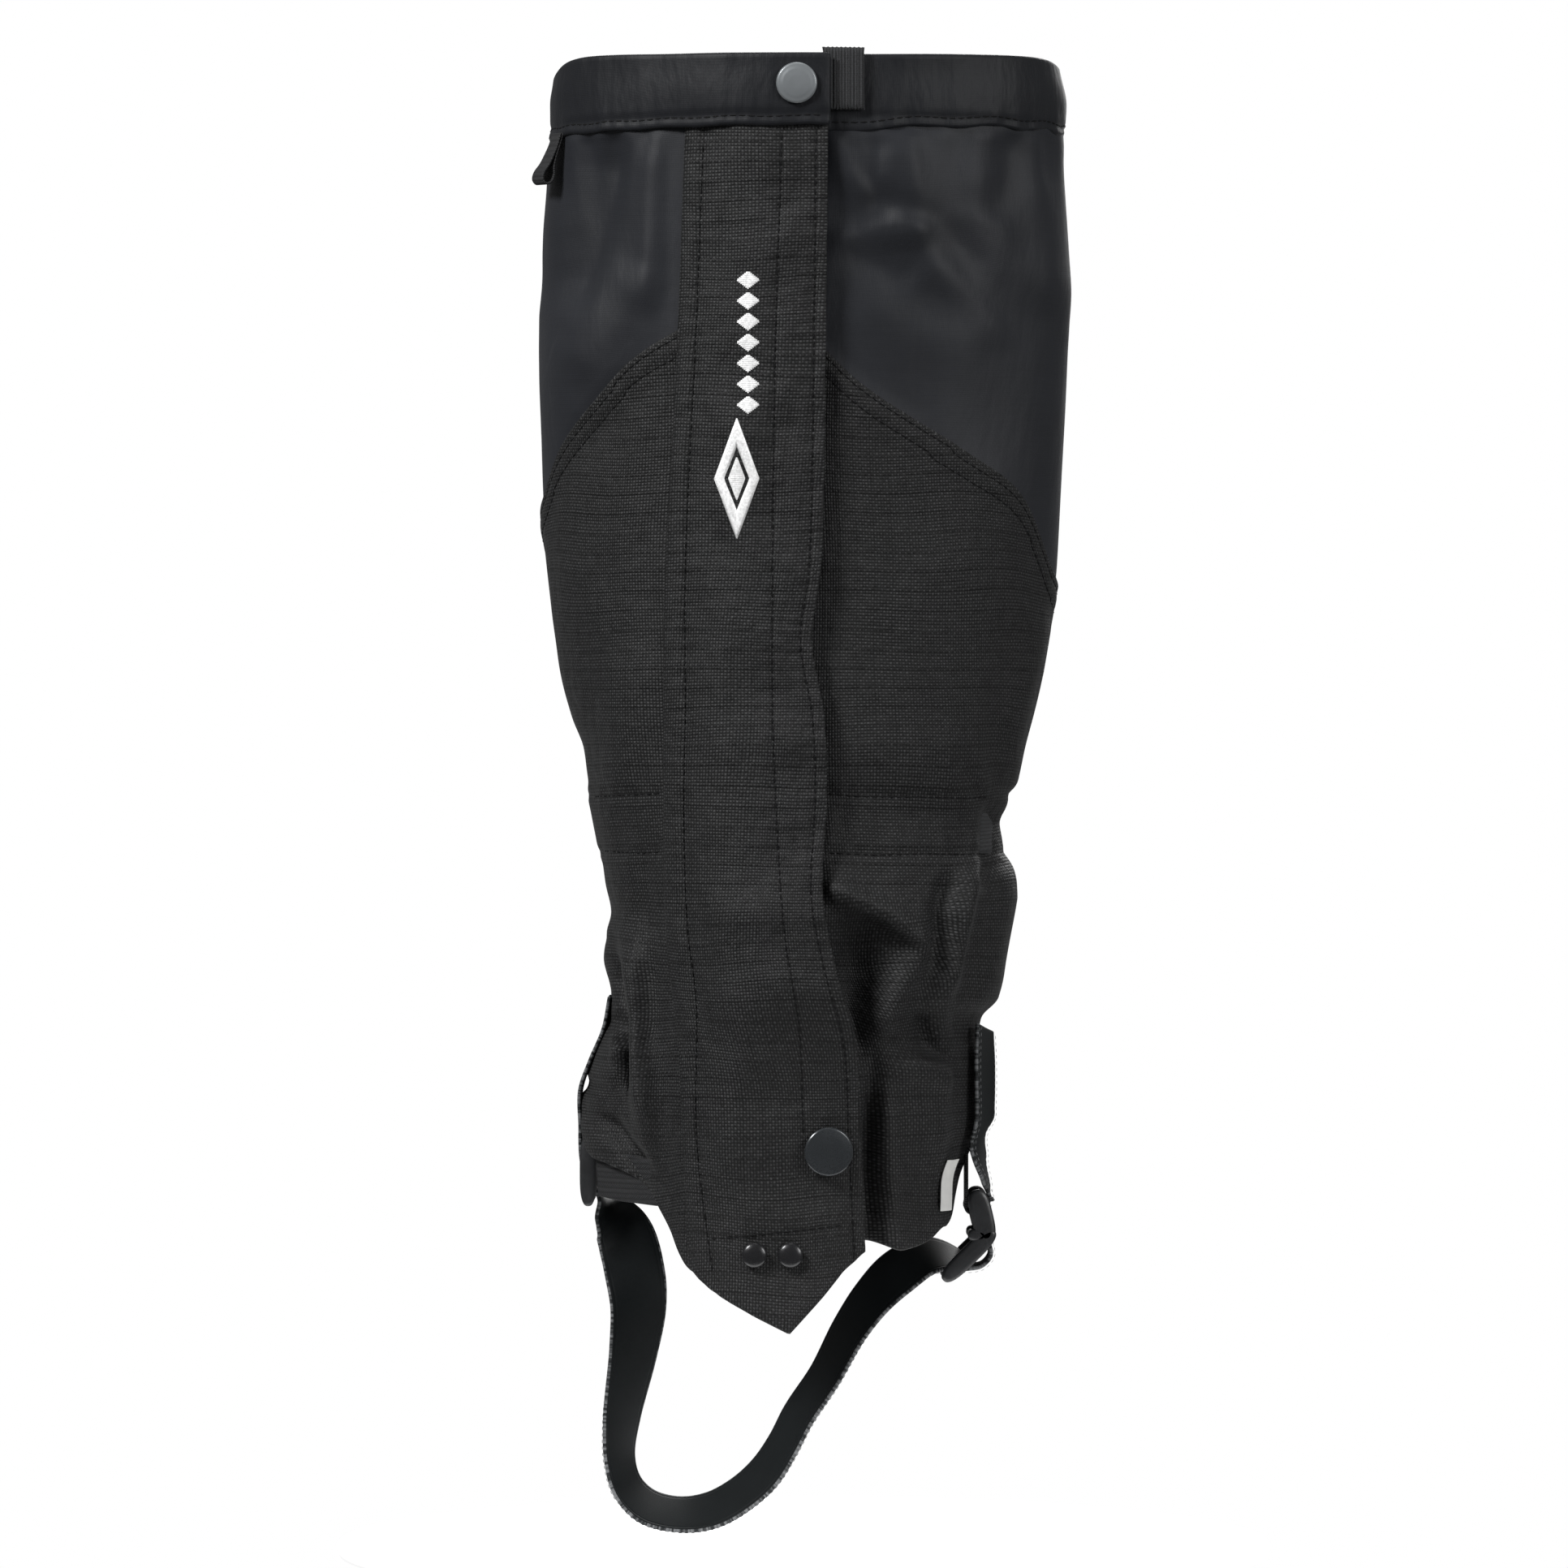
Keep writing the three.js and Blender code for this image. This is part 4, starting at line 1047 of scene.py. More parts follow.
def flap_offset(x, z):
    """How far the flap's outer face lies off the wall: low at its sewn edge, high over the tapes."""
    edge = smooth(FLAP_LEFT, z)
    stitch = smooth(FLAP_STITCH_LEFT, z)
    roll = CLOTH + 0.5 + 1.7 * np.sqrt(np.clip((x - edge) / np.maximum(stitch - edge, 1), 0, 1))
    high = FLAP_HIGH + FLAP_THICKNESS
    return mix(roll, high, ease(-3, 13, x - stitch))


def flap_relief(x, z):
    stitch = smooth(FLAP_STITCH_LEFT, z)
    inner = smooth(FLAP_STITCH_INNER, z)
    right = smooth(FLAP_RIGHT, z) - 3.4
    total = seam_pucker(z, x - stitch, 1, 0.55) + seam_pucker(z, x - right, 3, 0.4)
    total = total + ease(-102, -96, z) * seam_pucker(z, x - inner, 2, 0.4)
    total = total + 0.35 * np.exp(-(((x - stitch + 3) / 2.4) ** 2))
    fabric = ease(3, 10, x - stitch) * ease(-1, -8, x - right)
    total = total + fabric * (0.55 * ripple(x, z, 26, 51, 0.7) + 0.5 * ripple(x, z, 60, 52, 1.2))
    tape = ease(0, 3, x - inner)
    total = total + 0.22 * tape * np.sin(z / 4.6 + 2 * np.sin(z / 17.0))
    total = add_folds(total, x, z, [
        ([(-30, 112), (-20, 120), (-8, 128)], 7, 9, 0.6),
        ([(-34, 168), (-26, 178), (-22, 196)], 6, 6, -0.5),
    ])
    low = ease(-10, -40, z)
    total = total + low * fold(x, z, [(-26, -20), (-14, -32), (0, -50), (6, -64)], 9, 8, 1.3)
    total = total + low * fold(x, z, [(-30, -44), (-20, -62), (-22, -90), (-16, -124)], 8, 8, 1.1)
    total = total + low * fold(x, z, [(-12, -70), (-4, -96), (-6, -124)], 6, 7, -0.4)
    stitch_row = np.abs(z - (-129.6 + 0.11 * x))
    total = total + ease(-28, -24, x) * (-0.3 * np.exp(-((stitch_row / 1.2) ** 2)))
    return total


def blend_flap(made):
    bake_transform(made)
    return made


def add_flap():
    base, points = front_points(
        lambda z: smooth(FLAP_LEFT, z), lambda z: smooth(FLAP_RIGHT, z), flap_low,
        lambda u: HEM_LINE + 1.5 + 0 * u, flap_offset, FLAP_CELLS, flap_relief,
    )
    made = grid_object("flap_cloth", points, FLAP_THICKNESS, thread_places(base))
    finish_piece(made, None, RIPSTOP, ["front_flap", "flap_seam_strip"])
    return blend_flap(made)


def plain_front(name, node, body, material, left, right, low, high, near, thick, cells):
    """A strip on the front that mostly lies hidden: its CAD sheet with a soft, uneven face."""
    base, points = front_points(
        left, right, lambda u: low + 0 * u, lambda u: high + 0 * u, lambda x, z: near(x) + thick, cells,
        lambda x, z: 0.08 * ripple(x, z, 14, 61),
    )
    made = grid_object(name, points, thick, thread_places(base))
    return finish_piece(made, body, material, [node])


def add_layers():
    """What lies behind the flap: placket, loop tape, hook tape and the flap's lining."""
    def tape_right(z):
        return smooth(PLACKET_RIGHT, z) - TAPE_INSET

    def tape_left(z):
        return tape_right(z) - TAPE_WIDTH

    top = HEM_LINE - GAP
    plain_front(
        "placket_cloth", "placket", "shell", RIPSTOP, lambda z: PLACKET_LEFT + 0 * z,
        lambda z: smooth(PLACKET_RIGHT, z), -130, HEM_LINE, lambda x: 0 * x, CLOTH, (24, 160),
    )
    plain_front(
        "loop_tape_piece", "loop_tape", "shell", LOOPS, tape_left, tape_right, TAPE_BOTTOM, top,
        lambda x: CLOTH + GAP + 0 * x, TAPE_THICKNESS, (10, 120),
    )
    plain_front(
        "hook_tape_piece", "hook_tape", "flap", HOOKS, tape_left, tape_right, TAPE_BOTTOM, top,
        lambda x: CLOTH + 2 * GAP + TAPE_THICKNESS + 0 * x, TAPE_THICKNESS, (10, 120),
    )
    plain_front(
        "flap_lining_piece", "flap_lining", "flap", LINING, lambda z: -26 + 0 * z,
        lambda z: smooth(FLAP_RIGHT, z) - 1.5, -126, top,
        lambda x: flap_near(x) - LAYER_GAP - LINING_THICKNESS, LINING_THICKNESS, (20, 140),
    )


# ---------------------------------------------------------------- inner elastics and tapes
def wall_ring(name, material, start, stop, low, high, far, thick, cells, relief):
    """A band inside the wall, between two heights and from one angle round to another."""
    u, v = grid(*cells)
    z = mix(low, high, v)
    angle = mix(start(z), stop(z), u)
    base = on_wall(angle, z, far)
    sign = 1 if angle[-1, 0] > angle[0, 0] else -1
    points = base + sign * outward_normals(base) * relief(round_coordinate(angle, z), z)[..., None]
    threads = thread_places(base)
    if sign < 0:
        points, threads = points[::-1], threads[::-1]
    made = grid_object(name + "_piece", points, thick, threads)
    return finish_piece(made, "shell", material, [name])


def add_inner_rings():
    """The elastics in the rim and at the ankle, the ankle channel's lining and the back seam's tapes."""
    def start(z):
        return angle_at(PANEL_EDGE_LEFT - 4, z)

    def stop(z):
        return angle_at(smooth(PLACKET_RIGHT, z) + 4, z) - 2 * math.pi

    def ribs(x, z):
        return -0.12 + 0.12 * np.sin(x * 1.1)

    def soft(x, z):
        return -0.15 + 0.12 * ripple(x, z, 16, 71)

    def tape_angle(z):
        return SEAM_TAPE_WIDTH / 2 / section(z)[1]

    band = ANKLE_BAND / 2
    edge = band + CHANNEL_MARGIN
    low = (HEM_LINE + TOP_RIM - TOP_ELASTIC_HEIGHT) / 2
    high = (HEM_LINE + TOP_RIM + TOP_ELASTIC_HEIGHT) / 2
    for name, slot, material, bottom, top, far, thick, cells, relief in (
        ("ankle_elastic", "elastic", BAND, -band, band, -LINING_GAP, ELASTIC_THICKNESS, (240, 10), ribs),
        ("ankle_channel_lining", "lining", LINING, -edge, edge, -2 * LINING_GAP - ELASTIC_THICKNESS,
         LINING_THICKNESS, (240, 14), soft),
        ("top_elastic", "elastic", BAND, low, high, -LINING_GAP, ELASTIC_THICKNESS, (240, 10), ribs),
    ):
        wall_ring(name, material, start, stop, bottom, top, far, thick, cells, relief)
    for name, bottom, top in (
        ("back_seam_tape_upper", edge + GAP, low - GAP), ("back_seam_tape_lower", -104, -edge - GAP),
    ):
        wall_ring(
            name, SEAM_TAPE, lambda z: math.pi - tape_angle(z), lambda z: math.pi + tape_angle(z),
            bottom, top, -LINING_GAP, SEAM_TAPE_THICKNESS, (10, 110), soft,
        )


def add_tab():
    """The end of the top elastic, a short ribbed tab that stands above the rim."""
    width, low, high, thickness, rib_height, rib_count = 12.6, 227.0, 245.8, 1.7, 0.32, 9
    left = smooth(FLAP_RIGHT, TOP_RIM) - 1.1
    u, v = grid(64, 20)
    z = mix(low, high, v)
    x = mix(left, left + width, u)
    far = HEM_THICKNESS + 2 * GAP + 2.2 + 0.25 * np.sin(v * math.pi) - 0.35 * u
    ribs = rib_height * np.abs(np.sin(u * math.pi * rib_count)) * ease(0.0, 0.06, v) * ease(1.0, 0.94, v)
    base = on_front(x, z, far)
    points = base + outward_normals(base) * ribs[..., None]
    made = grid_object("top_elastic_tab_piece", points, thickness, np.stack([u * width, z], -1))
    return finish_piece(made, "shell", ELASTIC, ["top_elastic_tab"])


def add_label():
    """The blank care label, low on the right."""
    u, v = grid(10, 16)
    z = mix(-124.0, -108.0, v)
    angle = mix(math.radians(58), math.radians(65), u)
    base = on_wall(angle, z, CLOTH + 2 * GAP + 0.3)
    points = base + outward_normals(base) * (0.25 * np.sin(v * 5) + 0.2 * np.sin(u * 4))[..., None]
    made = grid_object("blank_label", points, 0.35, np.stack([u * 8, z], -1))
    return finish_piece(made, "shell", LABEL, ["care_label"])


def add_webbing_fold():
    """The sewn end of the left webbing, which shows below the hem in front of the buckle."""
    u, v = grid(36, 14)
    angle = mix(math.radians(-70), float(angle_at(-47.5, -112)), u)
    z = mix(mix(-119.5, -121.5, u), mix(-103.0, -108.0, u), v)
    base = on_wall(angle, z, -0.5)
    points = base + outward_normals(base) * (0.25 * ripple(u * 24, z, 12, 91))[..., None]
    made = grid_object("webbing_left_sewn_end", points, WEBBING_THICKNESS, np.stack([u * 24, z], -1))
    return finish_piece(made, "shell", WEBBING)


def add_side_pull():
    """A folded tape that hangs from the top hem's lower edge, with a fat doubled end."""
    half_width, thickness, tape_length = 3.8, 0.75, 34
    foot = Vector(on_wall(PULL_ANGLE, PULL_TOP, 0.0))
    upwards = (foot - Vector(on_wall(PULL_ANGLE, PULL_TOP - 15, 0.0))).normalized()
    out = Vector(on_wall(PULL_ANGLE, PULL_TOP, 1.0)) - foot
    along = upwards.cross(out).normalized()
    out = along.cross(upwards).normalized()
    path = [
        (1.7, 0.4), (2.4, -3), (3.4, -7), (3.9, -10.5), (3.7, -13), (4.6, -15.6), (6.7, -16.5), (8.3, -15),
        (8.0, -12.4), (6.3, -9.5), (4.9, -6), (3.9, -3), (3.2, 0.4),
    ]
    steps = np.linspace(0, 1, 60)
    spread = np.linspace(0, 1, len(path))
    outs, ups = (smooth(list(zip(spread, part)), steps) for part in zip(*path))
    across = np.linspace(-half_width, half_width, 15)
    tuck = 1.0 - 0.12 * np.cos(steps * 2 * math.pi)
    points = (
        np.array(foot) + np.outer(across, tuck)[..., None] * np.array(along)
        + outs[:, None] * np.array(out) + ups[:, None] * np.array(upwards)
    )
    threads = np.stack(np.meshgrid(across, steps * tape_length, indexing="ij"), -1)
    made = grid_object("side_pull_tape", points, thickness, threads)
    return finish_piece(made, "pull", WEBBING, ["side_pull"])


# ---------------------------------------------------------------- snaps, hook and rivets
def add_snap(name, spot, base, lining, cover, material):
    """A press stud: domed cap and socket on the flap, stud and post on the strip behind it.

    base, lining and cover are the thicknesses that the post, socket and cap hold.
    """
    place = seat(spot["x"], spot["z"])
    radius = spot["radius"]
    under = float(flap_near(spot["x"])) - lining
    over = float(flap_near(spot["x"])) + cover
    shank, flange, head = 1.5, 4.2, 2.6
    cap = over + 0.7
    profiles = {
        "cap": [
            (0, under - GAP), (shank, under - GAP), (shank, cap), (radius - 0.6, cap), (radius, cap + 0.35),
            (radius, cap + 0.8), (radius - 0.45, cap + 1.25), (radius - 1.3, cap + 1.4),
            (radius * 0.66, cap + 1.65), (radius * 0.35, cap + 1.85), (0, cap + 1.9),
        ],
        "socket": [
            (3.3, base + 1.3), (5.0, base + 1.3), (5.0, under - 0.4), (3.3, under - 0.4), (3.3, base + 1.3),
        ],
        "stud": [
            (0, -GAP), (shank, -GAP), (shank, base + 0.5), (flange, base + 0.5), (flange, base + 1.0),
            (head - 0.6, base + 1.0), (head, base + 1.7), (head - 0.3, under - 0.7), (0, under - 0.7),
        ],
        "post": [(0, -1.3), (flange, -1.3), (flange + 0.4, -1), (flange + 0.4, -0.6), (0, -0.6)],
    }
    for part, profile in profiles.items():
        made = lathe(f"{name}_{part}_turned", profile, place)
        body = "flap" if part in ("cap", "socket") else "shell"
        finish_piece(made, body, material if part == "cap" else LOW_METAL, [f"{name}_{part}"])


def add_hook():
    """The lace hook behind the flap's point, and the two rivets that hold it."""
    place = seat(HOOK_X, HOOK_Z, float(flap_near(HOOK_X)))
    front, thick, radius = 0.9, 1.0, 3.0
    middle = front + thick + radius
    outer = radius + thick
    bend = [(middle - outer * math.cos(a), -9 - outer * math.sin(a)) for a in np.linspace(0, math.pi, 16)]
    tip = [(middle + outer, -7), (middle + outer, -4.5)]
    path = [(front, 5), (front, 1), (front, -3), (front, -7)] + bend + tip
    widths = np.linspace(-9, 9, 25)
    points = np.zeros((len(widths), len(path), 3))
    for i, w in enumerate(widths):
        for j, (back, height) in enumerate(path):
            corner = 1.2 * ease(7.6, 9.0, abs(w)) * (j < 2)
            points[i, j] = place @ Vector((w, back, height - corner))
    made = grid_object("lace_hook_bent", points[::-1], thick, np.zeros((len(widths), len(path), 2)))
    finish_piece(made, "flap", BLACK_METAL, ["lace_hook"])
    head = FLAP_THICKNESS + 0.25
    tail = -2.2
    for name, side in (("left", -1), ("right", 1)):
        at = place @ Matrix.Translation((side * RIVET_SPACING / 2, 0, 0))
        profile = [
            (0, tail - 0.7), (2.3, tail - 0.7), (2.6, tail - 0.3), (2.6, tail), (1.5, tail), (1.5, head),
            (3.7, head), (4.0, head + 0.3), (3.85, head + 0.75), (3.3, head + 1.2), (2.4, head + 1.55),
            (1.3, head + 1.75), (0, head + 1.8),
        ]
        made = lathe(f"hook_rivet_{name}_turned", profile, at)
        finish_piece(made, "flap", BLACK_METAL, [f"hook_rivet_{name}"])


# ---------------------------------------------------------------- strap, buckles and webbing
def at_buckle(spot, u, w):
    """Where a place in a buckle's own axes, out from the leg and up, lies on the picture plane."""
    angle = math.radians(spot["lean"])
    x = spot["x"] + spot["side"] * u * math.cos(angle) + w * math.sin(angle)
    z = spot["z"] - spot["side"] * u * math.sin(angle) + w * math.cos(angle)
    return x, z


def strap_route():
    """The strap's line: (across, height, turn, depth). Turn 90 lays it to the side, 0 faces it forward."""
    def outside(spot, z):
        wall = on_wall(spot["side"] * math.pi / 2, z, CLOTH + 1.2)
        return float(wall[0]), z, 90.0, 0.0

    left = [(*at_buckle(LEFT_BUCKLE, u, w), 90.0, 0.0) for u, w in (
        (3.6, 14), (3.6, 9), (3.3, 4), (2.6, 0.8), (0, -4.5), (-2.6, -9.8),
    )]
    right = [(47.5, -141.6, 70), (53, -144.2, 86), (58, -143.8, 90), (61.4, -140, 90), (60.8, -134.8, 90)]
    right += [(*at_buckle(RIGHT_BUCKLE, u, w), 90.0) for u, w in ((3.5, 3), (3.6, 9), (3.8, 14))]
    middle = [
        (-64.6, -125.5, 66), (-60.8, -129.5, 34), (-57.4, -135, 12), (-54.9, -144, 4), (-53.8, -156, 22),
        (-55.6, -171, 38),
        (-59.6, -193, 54), (-60.3, -206, 62), (-57.6, -215.5, 62), (-51, -222, 60), (-40.3, -224.7, 60),
        (-29.5, -223.3, 58), (-20, -218.2, 58), (-12, -211, 58), (-6, -202, 60), (-0.8, -192, 60),
        (7.6, -179.4, 60), (15.6, -164.5, 56), (23, -154, 50), (31, -146, 44), (39.5, -141.2, 52),
    ]
    middle = [(*spot, 0.0) for spot in middle + right]
    start = [outside(LEFT_BUCKLE, z) for z in (-56, -66, -76, -86)]
    end = [
        (59.4, -111.5, 97, -4.0), (57.9, -103, 103, -9.0), (59.3, -94.4, 107, -13.0),
        (59.4, -79.3, 109, -14.4), (59.4, -66, 106, -12.2),
    ]
    return start + left + middle + end


def centripetal(route, share):
    """Points on a centripetal Catmull-Rom curve through the route, share 0 to 1 by point number."""
    p = np.array([(x, y, z) for x, z, _, y in route])
    p = np.vstack([2 * p[0] - p[1], p, 2 * p[-1] - p[-2]])
    place = share * (len(route) - 1)
    i = np.minimum(place.astype(int), len(route) - 2)
    t = (place - i)[:, None]
    a, b, c, d = p[i], p[i + 1], p[i + 2], p[i + 3]
    t0, t1, t2 = (np.sqrt(np.linalg.norm(q - r, axis=1))[:, None] for q, r in ((a, b), (b, c), (c, d)))
    first = ((b - a) / t0 - (c - a) / (t0 + t1) + (c - b) / t1) * t1
    second = ((c - b) / t1 - (d - b) / (t1 + t2) + (d - c) / t2) * t1
    h = 2 * t**3 - 3 * t**2
    return b * (h + 1) + first * (t**3 - 2 * t**2 + t) - c * h + second * (t**3 - t**2)


def strap_frames(count):
    """Points along the strap's middle, with the ways across it and off its face, and the length so far."""
    route = strap_route()
    share = np.linspace(0, 1, count)
    centre = centripetal(route, share)
    along = unit(np.gradient(centre, axis=0))
    level = unit(np.cross(along, [0, 1, 0]))
    turns = [(i / (len(route) - 1), r[2]) for i, r in enumerate(route)]
    angle = np.radians(smooth(turns, share))[:, None]
    wide = level * np.cos(angle) + np.array([0, 1.0, 0]) * np.sin(angle)
    wide = unit(wide - along * np.sum(wide * along, axis=1, keepdims=True))
    return centre, wide, np.cross(along, wide), distances(centre)


def add_strap():
    count, cells = 700, 20
    centre, wide, thick, length = strap_frames(count)
    across = np.linspace(-0.5, 0.5, cells + 1) * STRAP_WIDTH
    crown = 0.25 * (across / STRAP_WIDTH * 2) ** 2
    points = (
        centre[None] + wide[None] * across[:, None, None]
        + thick[None] * (STRAP_THICKNESS / 2 - crown)[:, None, None]
    )
    threads = np.stack(np.broadcast_arrays(length[None], across[:, None]), -1)
    made = grid_object("instep_strap_band", points, STRAP_THICKNESS, threads.copy())
    return finish_piece(made, "stirrup", STRAP, ["instep_strap"])


def rail_outline(half_height, thickness):
    """A buckle rail's side view: a long oval, fatter in its middle, as (out, up)."""
    outline = []
    for angle in np.linspace(0, 2 * math.pi, 56, endpoint=False):
        c, s = math.cos(angle), math.sin(angle)
        out = thickness / 2 * math.copysign(abs(c) ** 0.8, c)
        outline.append((out, half_height * math.copysign(abs(s) ** 0.62, s)))
    return outline


def solid_loft(loops):
    """Corners and faces of a solid through closed loops of equal length, capped at both ends."""
    count = len(loops[0])
    corners = np.concatenate(loops)
    faces = []
    for k in range(len(loops) - 1):
        for j in range(count):
            after = (j + 1) % count
            faces.append([k * count + j, k * count + after, (k + 1) * count + after, (k + 1) * count + j])
    last = (len(loops) - 1) * count
    faces.append(list(range(count))[::-1])
    faces.append([last + j for j in range(count)])
    return corners, faces


def buckle_matrix(spot):
    return Matrix.Translation((spot["x"], 0, spot["z"])) @ Matrix.Rotation(math.radians(spot["lean"]), 4, "Y")


def join_solids(name, solids):
    """One object from the (corners, faces) of several solids."""
    corners, faces, start = [], [], 0
    for some_corners, some_faces in solids:
        corners.append(some_corners)
        faces += [[i + start for i in face] for face in some_faces]
        start += len(some_corners)
    return mesh_object(name, np.concatenate(corners), faces)


def rail_loops(place, side, start, stop, thickness):
    """A buckle's rail between two points (out, up), as loops from its inner to its outer face."""
    du, dw = stop[0] - start[0], stop[1] - start[1]
    length = math.hypot(du, dw)
    loops = []
    for depth, shrink in ((0, 0.35), (0.4, 0.1), (1.0, 0), (2.4, 0), (3.0, 0.12), (3.3, 0.4)):
        loop = []
        for out, up in rail_outline(length / 2, thickness):
            out *= 1 - shrink
            up -= math.copysign(min(abs(up), shrink * thickness / 2), up)
            u = (start[0] + stop[0]) / 2 + up * du / length - out * dw / length
            w = (start[1] + stop[1]) / 2 + up * dw / length + out * du / length
            loop.append(place @ Vector((u, side * (BUCKLE_INSIDE + depth), w)))
        loops.append(np.array(loop))
    return loops


def add_buckle(name, spot, rails):
    """A ladder-lock buckle: soft-edged rails (start, stop, thickness) on both sides, and three bars."""
    place = buckle_matrix(spot)
    solids = []
    for side in (-1, 1):
        for start, stop, thickness in rails:
            start = (start[0] * spot["side"], start[1])
            stop = (stop[0] * spot["side"], stop[1])
            solids.append(solid_loft(rail_loops(place, side, start, stop, thickness)))
    angles = np.linspace(0, 2 * math.pi, 20, endpoint=False)
    for w in (-BAR_PITCH, 0, BAR_PITCH):
        solids.append(solid_loft([
            np.array([
                place @ Vector((BAR_RADIUS * math.cos(a), y, w + BAR_RADIUS * math.sin(a))) for a in angles
            ]) for y in np.linspace(-BUCKLE_INSIDE - 0.6, BUCKLE_INSIDE + 0.6, 8)
        ]))
    made = join_solids(name + "_moulded", solids)
    body = "buckle_left" if spot["side"] < 0 else "buckle_right"
    return finish_piece(made, body, PLASTIC, [name])


LEFT_RAILS = [((0, -11.4), (0, 11.4), 5.4)]
RIGHT_RAILS = [
    ((-2.0, 14.8), (5.4, -1.0), 7.2), ((6.6, 3.2), (-6.2, -16.0), 6.0), ((-1.5, 0), (4.5, 1.0), 4.0),
]


def add_webbing(name, spot):
    """The webbing that holds a buckle: down from the hem, round the top bar and back up on itself."""
    place = buckle_matrix(spot)
    inner = BAR_RADIUS + BAR_PLAY + WEBBING_THICKNESS
    side = spot["side"]
    travel = -side * BAR_TRAVEL
    bar = BAR_PITCH
    path = [(travel - side * inner, bar + 1.0)]
    first, last = (math.pi, 2 * math.pi) if side > 0 else (0.0, -math.pi)
    for centre, low, high in ((travel, 0, 0.5), (0.0, 0.5, 1)):
        turns = np.linspace(mix(first, last, low), mix(first, last, high), 7)
        path += [(centre + inner * math.cos(a), bar + inner * math.sin(a)) for a in turns]
    rise = np.linspace(0.0, math.pi / 2, 7)[1:]
    path += [(inner * math.cos(a) * side, bar + inner * math.sin(a)) for a in rise]
    path += [(travel - side * inner * math.sin(a), bar + inner * math.cos(a)) for a in (0.0, 0.4, 0.9)]
    line = [place @ Vector((u, 0, w)) for u, w in path]
    line = [(p.x, p.z) for p in line]
    x, z = line[0]
    line = resample(np.array([(x, spot["top"]), (x, mix(spot["top"], z, 0.5))] + line), 70)
    across = np.linspace(-WEBBING_WIDTH / 2, WEBBING_WIDTH / 2, 21)
    points = np.zeros((21, 70, 3))
    points[..., 0] = line[None, :, 0]
    points[..., 1] = across[:, None]
    points[..., 2] = line[None, :, 1]
    if side < 0:
        points = points[::-1]
    length = np.linspace(0, spot["top"] - at_buckle(spot, 0, bar)[1] + 20, 70)
    threads = np.stack(np.broadcast_arrays(length[None], across[:, None]), -1).copy()
    made = grid_object(name + "_loop", points, WEBBING_THICKNESS, threads)
    return finish_piece(made, "stirrup", WEBBING, [name])


def distances(points):
    """How far along a polyline each of its points lies."""
    return np.concatenate([[0], np.cumsum(np.linalg.norm(np.diff(points, axis=0), axis=1))])


def resample(line, count):
    """Evenly spaced points along a polyline."""
    far = distances(line)
    even = np.linspace(0, far[-1], count)
    return np.stack([np.interp(even, far, part) for part in line.T], 1)


# ---------------------------------------------------------------- stitching
def thread_solid(points, normals, wide, high, lift):
    """A thread along points, from its half width, half height and rise off the cloth at each of them."""
    side = np.cross(unit(np.gradient(points, axis=0)), normals)
    angles = np.linspace(0, 2 * math.pi, THREAD_SIDES, endpoint=False)
    return solid_loft([
        p + np.outer(np.cos(angles) * w, s) + np.outer(np.sin(angles) * h, n) + n * rise
        for p, n, s, w, h, rise in zip(points, normals, side, wide, high, lift)
    ])


def stitch_mesh(name, lines, pitch, length, width, height):
    """Short threads along lines. Each line is (points, normals) in mm, and all become one mesh."""
    shares = np.array([0.0, 0.18, 0.5, 0.82, 1.0])
    fat = np.maximum(np.sin(math.pi * np.clip(shares, 0.04, 0.96)) ** 0.5, 0.3)
    threads = []
    for points, normals in lines:
        far = distances(points)
        for middle in np.arange(pitch / 2, far[-1] - length / 2, pitch):
            at = middle + (shares - 0.5) * length
            p, n = (np.stack([np.interp(at, far, part) for part in line.T], 1) for line in (points, normals))
            rise = height * (0.4 * fat - 0.12)
            threads.append(thread_solid(p, unit(n), width / 2 * fat, height / 2 * fat, rise))
    return join_solids(name, threads)


class Surface:
    """Looks up where a line lies on a finished sheet, by its share across and its height."""

    def __init__(self, made, cells):
        across, up = cells
        flat = np.empty(len(made.data.vertices) * 3, np.float32)
        made.data.vertices.foreach_get("co", flat)
        outer = flat.reshape(-1, 3)[: (across + 1) * (up + 1)]
        self.points = outer.reshape(across + 1, up + 1, 3).astype(float) / MM
        self.normals = outward_normals(self.points)

    def nearest(self, line):
        """The points and normals of the front face nearest to each (x, z)."""
        places = self.points.reshape(-1, 3)
        ways = self.normals.reshape(-1, 3)
        turned_away = np.where(ways[:, 1] < 0.35, 0, 1e6)
        found, normal = [], []
        for spot in line:
            far = ((places[:, [0, 2]] - spot) ** 2).sum(1) + turned_away
            best = np.argpartition(far, 4)[:4]
            weight = 1 / (far[best] + 1e-3)
            weight = (weight / weight.sum())[:, None]
            found.append((spot[0], (places[best] * weight).sum(0)[1], spot[1]))
            normal.append((ways[best] * weight).sum(0))
        return np.array(found), np.array(normal)


def stitch_lines(surface, lines):
    """Lines (x, z) laid on a surface, with a point about every mm."""
    made = []
    for line in lines:
        line = np.array(line, float)
        made.append(surface.nearest(resample(line, max(3, int(distances(line)[-1])))))
    return made


def by_height(pairs, low, high, shift=0.0):
    """A line (x, z) between two heights, from a table of distance across by height."""
    return [(float(smooth(pairs, h)) + shift, h) for h in np.arange(low, high + 0.1, 6.0)]


